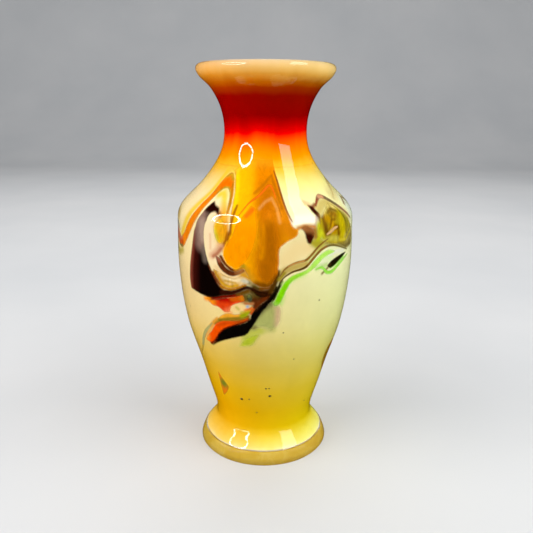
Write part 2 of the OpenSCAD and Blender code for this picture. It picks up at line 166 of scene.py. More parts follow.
outer_wall, straw_wall = (corners(p) for p in split_ring(seam_path("clear_casing")))
outer_wall = curve_through(outer_wall, 0.7, sharp=40)
straw_wall = curve_through(straw_wall, 0.42, sharp=40)
opal_path = corners(seam_path("opal_core"))
pad_path = corners(seam_path("foot_pad"))


def wall_radius(height):
    """Radius of the straw gather's surface at a height."""
    return np.interp(height, straw_wall[:, 1], straw_wall[:, 0])


def wall_slope(height):
    """How the wall's outward normal leans from level at a height, in radians."""
    along = np.gradient(straw_wall, axis=0)
    lean = np.arctan2(-along[:, 0], along[:, 1])
    return np.interp(height, straw_wall[:, 1], lean)


def moved_in(path, depth):
    """A profile moved towards the axis, square to itself, by one depth or one per point."""
    along = np.gradient(path, axis=0)
    along /= np.linalg.norm(along, axis=1)[:, None]
    return path - np.column_stack([along[:, 1], -along[:, 0]]) * np.reshape(depth, (-1, 1))


# ---- Hand-blown irregularity, shared by all layers ---------------------------


def hand_blown(points):
    """Points in mm with the slight oval, lean and waver of a vase shaped by hand."""
    x, y, z = points.T
    share = z / HEIGHT
    azimuth = np.arctan2(x, -y)
    oval = 1 + 0.0022 * np.cos(2 * azimuth + 0.8 + 2.5 * share) * np.sin(math.pi * share)
    waver = 1 + 0.0012 * np.cos(3 * azimuth - 5 * share) * np.sin(2 * math.pi * share)
    lean = 0.12 * np.sin(math.pi * share)
    return np.column_stack([x * oval * waver + lean, y * oval * waver, z])


def on_vase(azimuth, height, radius):
    """Points in mm from azimuths, heights and distances from the axis."""
    a = np.radians(azimuth)
    return np.column_stack([radius * np.sin(a), -radius * np.cos(a), height])


# ---- Meshes ------------------------------------------------------------------


def linked(name, data):
    """A new object in the scene."""
    piece = bpy.data.objects.new(name, data)
    bpy.context.scene.collection.objects.link(piece)
    return piece


def smoothed(mesh):
    mesh.polygons.foreach_set("use_smooth", [True] * len(mesh.polygons))


def finish_mesh(name, points, faces, crease=40):
    """A smooth object from points in mm, sharp where faces meet at more than crease degrees."""
    mesh = bpy.data.meshes.new(name)
    mesh.from_pydata([tuple(p) for p in points * MM], [], faces)
    mesh.validate()
    smoothed(mesh)
    mesh.set_sharp_from_angle(angle=math.radians(crease))
    return linked(name, mesh)


USUAL_TURNS = 288


def even_turns(count):
    return np.arange(count) * 360 / count


def rippled(points, amount):
    """Points pushed in and out by a slow waver, as a wet tool leaves it."""
    push = [1 + amount * noise.noise(Vector((x / 9, y / 9, z / 14))) for x, y, z in points]
    return points * np.column_stack([push, push, np.ones(len(points))])


def revolved(rings, azimuths):
    """The points of a revolved profile, ring after ring."""
    return np.vstack([on_vase(azimuths, np.full(len(azimuths), z), r) for r, z in rings])


def ring_faces(low, high, segments):
    """Quads between two rings, each given by its first point's index."""
    steps = [(j, (j + 1) % segments) for j in range(segments)]
    return [(low + j, low + k, high + k, high + j) for j, k in steps]


def ring_skin(name, path, azimuths=even_turns(USUAL_TURNS), ripple=0.0):
    """A revolved skin whose profile is a closed loop."""
    points = revolved(path, azimuths)
    if ripple:
        points = rippled(points, ripple)
    segments, count = len(azimuths), len(path)
    faces = []
    for i in range(count):
        faces += ring_faces(i * segments, (i + 1) % count * segments, segments)
    return finish_mesh(name, hand_blown(points), faces)


def domed_skin(name, path, azimuths=even_turns(USUAL_TURNS)):
    """A revolved skin whose profile begins and ends on the axis, at two poles."""
    rings = path[1:-1]
    segments, last = len(azimuths), len(rings) - 1
    poles = [[0, 0, path[0][1]], [0, 0, path[-1][1]]]
    points = np.vstack([revolved(rings, azimuths), poles])
    faces = []
    for i in range(last):
        faces += ring_faces(i * segments, (i + 1) * segments, segments)
    foot, top = len(points) - 2, len(points) - 1
    steps = [(j, (j + 1) % segments) for j in range(segments)]
    faces += [(k, j, foot) for j, k in steps]
    faces += [(last * segments + j, last * segments + k, top) for j, k in steps]
    return finish_mesh(name, hand_blown(points), faces)


def outlines(node):
    """The outlines of a bit's outward face, one loop per solid, as (azimuth, height)."""
    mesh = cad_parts[node].data
    place = rounded_places(mesh)
    count, onward = {}, {}
    for face in mesh.polygons:
        lean = float(wall_slope(face.center.z / MM))
        out = Vector((face.center.x, face.center.y, 0)).normalized() * math.cos(lean)
        if face.normal @ (out + Vector((0, 0, math.sin(lean)))) < 0.85:
            continue
        ring = [place[i] for i in face.vertices]
        for a, b in zip(ring, ring[1:] + ring[:1]):
            count[frozenset((a, b))] = count.get(frozenset((a, b)), 0) + 1
            onward.setdefault(a, []).append(b)
    rim = {
        a: b for a, nexts in onward.items() for b in nexts if count[frozenset((a, b))] == 1
    }
    loops = []
    while rim:
        start = here = next(iter(rim))
        loop = []
        while here in rim:
            loop.append(here)
            here = rim.pop(here)
        if here == start and len(loop) > 5:
            loops.append(unrolled(np.array(loop)))
    return loops


def unrolled(loop):
    """A loop of points in space as (azimuth, height), unbroken where azimuth wraps."""
    centre = loop.mean(axis=0)
    middle = math.atan2(centre[0], -centre[1])
    around = np.arctan2(loop[:, 0], -loop[:, 1]) - middle
    around = (around + math.pi) % (2 * math.pi) - math.pi
    return np.column_stack([np.degrees(around + middle), loop[:, 2]])


def thinned(loop, slack):
    """A closed loop with the points that lie within slack of a straight run left out."""

    def kept(low, high):
        if high - low < 2:
            return []
        a, b = ring[low], ring[high]
        inner = ring[low + 1 : high]
        along = (b - a) / max(np.linalg.norm(b - a), 1e-9)
        off = np.abs((inner - a)[:, 0] * along[1] - (inner - a)[:, 1] * along[0])
        far = int(off.argmax())
        if off[far] < slack:
            return []
        split = low + 1 + far
        return kept(low, split) + [split] + kept(split, high)

    first = int(loop[:, 0].argmin())
    ring = np.vstack([np.roll(loop, -first, axis=0), loop[first]])
    half = int(np.linalg.norm(ring[:-1] - ring[0], axis=1).argmax())
    index = [0] + kept(0, half) + [half] + kept(half, len(ring) - 1)
    return ring[index]


def gap_to(points, line, closed=True):
    """Distance of each point to a polyline."""
    starts, ends = (line, np.roll(line, -1, axis=0)) if closed else (line[:-1], line[1:])
    best = np.full(len(points), np.inf)
    for a, b in zip(starts, ends):
        run = b - a
        t = np.clip((points - a) @ run / max(run @ run, 1e-12), 0, 1)
        best = np.minimum(best, np.linalg.norm(points - a - t[:, None] * run, axis=1))
    return best


def inside(points, loop):
    """Which points lie within a loop: those that a ray leaves it an odd number of times."""
    hit = np.zeros(len(points), bool)
    x, y = points.T
    for (ax, ay), (bx, by) in zip(loop, np.roll(loop, -1, axis=0)):
        if ay != by:
            crosses = (ay > y) != (by > y)
            hit ^= crosses & (x < (bx - ax) * (y - ay) / (by - ay) + ax)
    return hit


def signed_area(ring):
    x, y = ring.T
    return 0.5 * float(x @ np.roll(y, -1) - y @ np.roll(x, -1))


# The bits' layers from the lowest: how far each stands proud, and past its CAD outline, in mm
LIFTS = (0.02, 0.06, 0.1)
SPILLS = (0.4, 0.3, 0.15)
ORDER_LIFT = 0.0006  # what each later bit adds, so that no two share a surface
CROWN = 0.02  # how much a bit swells above its rim
BIT_DEPTH = 0.3  # how far it reaches into the gather


def spilled(flat, spill, step):
    """A smooth rim round a flat outline, moved outwards."""
    rim = curve_through(flat, step, closed=True)
    along = np.roll(rim, -1, axis=0) - np.roll(rim, 1, axis=0)
    along /= np.linalg.norm(along, axis=1)[:, None]
    out = np.column_stack([along[:, 1], -along[:, 0]]) * np.sign(signed_area(rim))
    return evenly(rim + out * spill, step, closed=True)


def filled(rim, step):
    """A rim filled with an even grid: (flat points, triangles that face outwards)."""
    low, high = rim.min(axis=0), rim.max(axis=0)
    grid = []
    for i, y in enumerate(np.arange(low[1], high[1], step * 0.87)):
        x = np.arange(low[0] + step / 2 * (i % 2), high[0], step)
        grid.append(np.column_stack([x, np.full_like(x, y)]))
    grid = np.vstack(grid)
    grid = grid[inside(grid, rim)]
    grid = grid[gap_to(grid, rim) > step * 0.55]
    found = geometry.delaunay_2d_cdt(
        [Vector(p) for p in np.vstack([rim, grid])], [], [list(range(len(rim)))], 1, 1e-6
    )
    flat = np.array([tuple(v) for v in found[0]])
    triangles = [tuple(f) for f in found[2]]
    if signed_area(flat[list(triangles[0])]) < 0:
        triangles = [f[::-1] for f in triangles]
    return flat, triangles


def pebble(loop, spill, lift):
    """A lens of glass over a loop: (azimuth, height, radius, edge distance) and faces."""
    scale = math.radians(1) * float(wall_radius(loop[:, 1].mean()))
    flat = thinned(loop * (scale, 1), 0.05)
    length = float(np.linalg.norm(flat - np.roll(flat, 1, axis=0), axis=1).sum())
    step = float(np.clip(2 * abs(signed_area(flat)) / length / 4, 0.16, 0.45))
    rim = spilled(flat, spill, step)
    flat, triangles = filled(rim, step)
    edge = gap_to(flat, rim)
    under = edge >= 1e-4
    edge = np.where(under, edge, 0)
    broad = max(min(edge.max(), 1.0), 0.15)
    dome = np.sqrt(1 - (1 - np.clip(edge / broad, 0, 1)) ** 2)
    azimuth, height = flat[:, 0] / scale, flat[:, 1]
    wall = wall_radius(height)
    depth = BIT_DEPTH * min(1, broad / 0.5)
    top = np.column_stack([azimuth, height, wall + lift + CROWN * dome, edge])
    lower = np.column_stack([azimuth, height, wall - depth * dome, edge])[under]
    below = np.arange(len(flat))
    below[under] = len(flat) + np.arange(under.sum())
    faces = triangles + [tuple(int(below[i]) for i in f[::-1]) for f in triangles]
    return np.vstack([top, lower]), faces


# ---- Painting: soft strokes of colour on the unrolled surface -----------------


def linear(colour):
    """A colour of 0 to 255 per channel, as the linear light that materials use."""
    c = np.array(colour, float) / 255
    return np.where(c <= 0.04045, c / 12.92, ((c + 0.055) / 1.055) ** 2.4)


def smooth_step(low, high, x):
    t = np.clip((x - low) / (high - low), 0, 1)
    return t * t * (3 - 2 * t)


def stroke_cover(places, path, width, soft):
    """How much a stroke of the brush covers each (azimuth, height) place."""
    path = np.array(path, float).reshape(-1, 2)
    middle = path[:, 0].mean()
    around = (places[:, 0] - middle + 180) % 360 - 180
    scale = math.radians(1) * float(wall_radius(path[:, 1].mean()))
    points = np.column_stack([around * scale, places[:, 1]])
    line = np.column_stack([(path[:, 0] - middle) * scale, path[:, 1]])
    away = gap_to(points, line, closed=len(line) == 1)
    half = width / 2
    return 1 - smooth_step(half * (1 - soft), half * (1 + soft) + 1e-6, away)


def stroke(path, width, tone, soft=0.8, strength=1.0):
    """One stroke of the brush: a place or a path, its width in mm, its colour, and so on."""
    return path, width, tone, soft, strength


def painted(places, base, strokes):
    """Colour and cover per place; a stroke with no colour wears the glass away instead."""
    colour = np.tile(linear(base or (0, 0, 0)), (len(places), 1))
    cover = np.full(len(places), 0.0 if base is None else 1.0)
    for path, width, tone, soft, strength in (stroke(*each) for each in strokes):
        w = stroke_cover(places, path, width, soft) * strength
        if tone is None:
            cover *= 1 - w
            continue
        known = np.maximum(cover, 1e-6)
        blend = w / (w + known * (1 - w)) if base is None else w
        colour += (linear(tone) - colour) * np.reshape(blend, (-1, 1))
        if base is None:
            cover = w + cover * (1 - w)
    return np.column_stack([colour, cover])


def set_paint(piece, paint):
    """Keeps colour and cover on the mesh, where its material reads them."""
    layer = piece.data.color_attributes.new("paint", "FLOAT_COLOR", "POINT")
    layer.data.foreach_set("color", paint.astype(np.float32).ravel())


# Colour of the gather by height in mm, towards its left and its right side
NECK_STOPS = [(121, (255, 120, 0)), (124.5, (255, 60, 0)), (126, (240, 0, 0)), (129, (190, 0, 0))]
LEFT_RAMP = [
    (4, (255, 238, 190)), (6, (244, 202, 95)), (8, (238, 188, 62)), (10, (234, 176, 34)),
    (12.5, (236, 170, 8)), (20, (238, 170, 0)), (30, (232, 175, 10)), (40, (228, 180, 50)),
    (50, (235, 195, 95)), (60, (240, 205, 130)), (75, (240, 210, 150)), (90, (245, 220, 160)),
    (103, (250, 225, 170)), (108, (250, 215, 130)), (112, (250, 190, 60)), (114, (250, 180, 30)),
    (117, (255, 150, 0)), *NECK_STOPS, (132, (150, 0, 0)), (139, (156, 4, 0)),
    (142, (182, 60, 0)), (144, (214, 108, 2)), (146, (244, 158, 42)), (148, (246, 182, 98)),
    (149.3, (244, 198, 146)), (150, (252, 234, 208)),
]
RIGHT_RAMP = [
    (4, (252, 245, 195)), (6, (238, 232, 118)), (8, (228, 216, 86)), (10, (218, 196, 40)),
    (12.5, (214, 186, 6)), (20, (220, 190, 20)), (30, (215, 190, 50)), (40, (215, 200, 90)),
    (50, (215, 210, 120)), (60, (222, 222, 150)), (75, (228, 230, 170)), (90, (235, 235, 180)),
    (103, (245, 240, 170)), (108, (245, 235, 140)), (112, (245, 205, 80)), (114, (255, 190, 40)),
    (117, (255, 155, 0)), *NECK_STOPS, (132, (140, 0, 0)), (139, (136, 12, 0)),
    (142, (152, 50, 0)), (144, (180, 100, 6)), (146, (232, 176, 76)), (148, (240, 202, 122)),
    (149.3, (242, 212, 156)), (150, (252, 240, 214)),
]

# Tints drawn out in the gather itself, below and between the bits. Each is a stroke's path,
# width and colour, and where they aren't 0.8 and 1, its softness and its strength
GATHER_TINTS = [
    # pale glass right of the tongue, and painted reflection of the softbox beside it
    ([(13, 84), (20, 88), (27, 88)], 9, (234, 206, 142), 0.9, 0.9),
    # cream beside the tongue's edge, partly a painted reflection of the softbox
    ([(17, 104), (18.4, 101), (20, 98.6)], 1.8, (246, 230, 180), 0.9, 0.6),
    # a pale band at the tongue's foot: a painted reflection of the softbox's lower end
    ([(18, 97), (24, 97.4), (30, 97.4), (33, 96.6)], 2.8, (248, 232, 204), 0.8, 0.8),
    ([(30, 94.6), (33, 95.6), (34.6, 97.8)], 1, (206, 180, 176), 0.8, 0.8),
    # the ribbon's two ends drawn together at the side
    ([(264, 89.9), (280, 89.6)], 3, (204, 122, 76), 0.5),
    # beside and inside the orange ribbon
    ([(-67, 89.4), (-62, 93), (-58, 96.5), (-53.5, 101), (-50.5, 104.5), (-48.5, 108), (-45, 112)],
     2.6, (236, 194, 52), 0.8, 0.95),
    ([(-39, 104.2), (-36, 104.8), (-33, 103.6), (-30, 101), (-28, 98.8)],
     2.2, (244, 200, 40), 0.8, 0.9),
    ([(-84, 96.5), (-76, 95.5)], 3, (192, 160, 70), 0.9, 0.8),
    ([(-80, 83.5), (-72, 82), (-66, 83.4)], 2.6, (188, 166, 70), 0.9, 0.9),
    # amber round the bulb
    ([(-30.5, 99.2), (-27, 98.6)], 4.4, (236, 166, 56), 0.9, 0.9),
    ([(-29, 96), (-27.5, 92.5), (-26.4, 90.4)], 6.4, (232, 160, 24), 0.6),
    ([(-25, 96), (-24, 92)], 2, (226, 146, 16), 0.7),
    ([(-32, 94.6), (-31, 90.4)], 1.6, (212, 184, 30), 0.8, 0.8),
    ([(-22.6, 93), (-24, 90.4), (-26.4, 88.2)], 1.3, (150, 80, 12), 0.7, 0.9),
    # cream and blush inside the crescent
    ([(-37, 99), (-36, 94), (-35.4, 90), (-33, 84)], 6, (246, 218, 172), 0.8, 0.9),
    ([(-35.6, 92), (-35.4, 87)], 0.9, (232, 186, 140), 0.9, 0.8),
    ([(-34, 84.6), (-30.6, 86.2), (-28, 88)], 2.4, (218, 160, 120), 0.9, 0.9),
    ([(-33, 84.4), (-30, 85.6), (-27.4, 87.4)], 1.2, (168, 92, 60), 0.8, 0.8),
    ([(-31, 99), (-29.4, 98.2)], 1.2, (150, 80, 30), 0.8, 0.8),
    # round the blot
    ([(-27.6, 84.6), (-25, 82.5), (-21, 80.6), (-18, 80.2)], 1.4, (104, 48, 12), 0.4),
    ([(-18, 80.2), (-13, 81.5), (-12, 82.2)], 1.2, (164, 100, 28), 0.5),
    ([(-15.5, 78.8), (-12, 79.8)], 1.4, (226, 176, 124)),
    # round the swirl
    ([(-31, 80.4), (-25, 78.4), (-19, 77.6), (-15, 78.4)], 2, (238, 202, 146), 0.9),
    ([(-33.4, 78.4), (-31.6, 76.5), (-27.6, 73.8)], 1.6, (122, 58, 22), 0.6),
    ([(-28, 73.8), (-22, 73.2), (-16.5, 74.1), (-12, 75.2)], 1.4, (176, 110, 14), 0.4),
    ([(-13, 78.8), (-10, 77.8), (-7, 77.8)], 2.8, (204, 146, 34)),
    ([(-10, 80.4), (-12, 82)], 2.4, (206, 140, 24)),
    ([(-9.4, 76.4), (-6.4, 75.4)], 1.8, (160, 140, 86)),
    ([(-6, 74.8), (-2, 74)], 1.6, (112, 98, 34)),
    # dark pool where the tongue meets the slash
    ([(-7, 73.4), (-3, 72.4), (3, 72.8)], 3.6, (58, 26, 4), 0.7),
    ([(-6, 70.6), (-1, 70.4), (3, 71.6)], 3.2, (44, 18, 2)),
    ([(-2, 74.3), (3, 74.5), (5.8, 75.6)], 1.2, (120, 64, 4), 0.9),
    ([(4.4, 73.4), (6, 75.6), (7.6, 78), (8.4, 80)], 2, (78, 48, 6), 0.5),
    ([(4.8, 69.4), (6.7, 71.6), (8.6, 74.2), (10.6, 76.6)], 1.3, (34, 32, 4), 0.5),
    # round the bead
    ([(-17, 70.2), (-13.5, 69.8)], 3, (196, 118, 14)),
    ([(-15, 71.9), (-10, 72.8)], 1.3, (128, 92, 20)),
    ([(-12.5, 70.6), (-8, 70.4)], 4.2, (98, 80, 26)),
    ([(-6, 69.6), (-5, 67.8)], 2.8, (84, 36, 8)),
    # between crescent, flame and band
    ([(-39, 68.5), (-33, 69), (-27, 70.15), (-21, 70.8), (-17, 71.4)], 1.5, (112, 16, 2), 0.4),
    ([(-17, 71.5), (-13.6, 72.5), (-10, 73.4)], 1.2, (104, 66, 14), 0.5),
    ([(-41.4, 68), (-38, 68)], 1.6, (248, 150, 30), 0.9),
    ([(-20, 66.4), (-13, 66.6)], 3.4, (244, 206, 136), 0.7),
    ([(-18, 66.7), (-16.6, 66)], 1, (206, 180, 90), 0.9),
    ([(-10.6, 67.3)], 1.2, (150, 170, 190), 0.7),
    ([(-12, 65.7), (-9.4, 66.3)], 1.1, (226, 104, 40)),
    ([(-7, 68.6), (-9, 68.4), (-12.4, 68.4)], 0.9, (184, 112, 60)),
    ([(-15, 64.7), (-10.4, 65.4)], 1, (190, 170, 50)),
    ([(-26, 64.4), (-22, 64.2)], 1.4, (240, 160, 90), 0.9, 0.8),
    ([(-8, 64.9), (-5.8, 66.9), (-3, 68.8), (1, 70.8)], 1.9, (100, 40, 8)),
    ([(-8.6, 64.8), (-7, 66.4)], 0.9, (200, 84, 24)),
    # seams between band, wedge and slash
    ([(-43, 49.8), (-38, 51.9), (-33, 55.2), (-28, 57.6), (-22, 59.2), (-16, 60.7), (-10.4, 62.3)],
     1.5, (112, 28, 2), 0.4),
    ([(-36, 59), (-32, 60.2), (-30, 60.6), (-22, 61.4), (-15, 62.2), (-10.6, 63.5)],
     1.5, (140, 104, 20), 0.4),
    ([(-40, 57.4), (-36, 59.6), (-33, 61)], 1.2, (222, 150, 50)),
    ([(-49.5, 51.4), (-45, 53.6), (-40, 56.2), (-37, 58.2)], 1, (226, 150, 60), 0.9, 0.8),
    # under the haze and the lime patch
    ([(-12.4, 57.4), (-9, 59.8), (-5, 63), (-1, 66)], 2.8, (104, 94, 54), 0.9, 0.9),
    ([(-8, 58), (0, 58.2), (6, 58.4)], 2.2, (186, 184, 96), 0.9, 0.7),
    ([(10.4, 68.6), (11.4, 71)], 2, (190, 216, 116), 0.9, 0.8),
    ([(-13, 54.6), (-8, 56.6), (-3, 57.8)], 3, (184, 188, 64), 0.9, 0.8),
    # along the threads, the lime streak and its loop
    ([(12, 80.2), (18, 81.5), (26, 82.4)], 2.6, (188, 162, 82), 0.7),
    ([(9.2, 77.4), (12, 79.6)], 1.4, (150, 130, 30)),
    ([(28, 83.8), (34, 86.6), (41, 88.6)], 2, (196, 184, 100)),
    ([(12, 75.8), (18, 77.2), (26, 78.8)], 1.6, (196, 224, 120), 0.9, 0.8),
    ([(33, 82.4), (38, 83.2), (44, 83.4)], 4, (212, 232, 166)),
    ([(38, 82), (42, 82)], 2, (226, 228, 182), 0.9),
    ([(44, 84.4), (52, 84.8), (60, 84.2)], 1.6, (224, 224, 196)),
    ([(34, 80.2), (42, 80.8)], 1.6, (178, 206, 120), 0.9, 0.8),
    ([(38.6, 77.9), (43.5, 79.6)], 0.9, (120, 104, 50)),
    ([(46, 79.5), (54, 80.9), (60, 82.1)], 1, (122, 192, 52)),
    # left of the olive patch, and round the chips
    ([(36, 95), (35.4, 91.4), (34, 89.4)], 3.4, (188, 188, 24), 0.7),
    ([(31, 89.6), (34, 88.6), (38, 89.2)], 2.6, (168, 156, 40), 0.9),
    ([(36.6, 98.2), (37.6, 96.4)], 1.8, (112, 74, 40)),
    ([(32.2, 94), (32.6, 91.6)], 1.8, (158, 112, 40)),
    ([(20.5, 95), (25, 95.6), (32, 95)], 1.2, (196, 130, 64)),
    ([(29.6, 102.4), (33, 101.6), (34.5, 100.8)], 1.4, (214, 172, 112), 0.8, 0.6),
    ([(34.4, 100.6), (38, 101.3)], 1.2, (132, 66, 44), 0.7),
    ([(39, 99.6), (44, 101.2), (50, 101.6), (56, 100.2), (62, 98), (68, 96)],
     3, (198, 176, 92), 0.8, 0.9),
    ([(42, 88.8), (50, 88), (58, 86.8), (64, 85.6)], 2, (160, 146, 70)),
    # pale glass over the right shoulder, with a painted highlight and a band of painted shade
    # pale opal glass, lightened further by a painted highlight
    ([(78, 98), (88, 96.5)], 7, (228, 236, 208), 0.9),
    ([(73, 99.4), (80, 101.4), (92, 98.6)], 1, (146, 118, 78)),
    # painted shade beside the thin dark line
    ([(64, 103), (78, 104.6)], 4, (214, 196, 130), 0.8, 0.6),
]

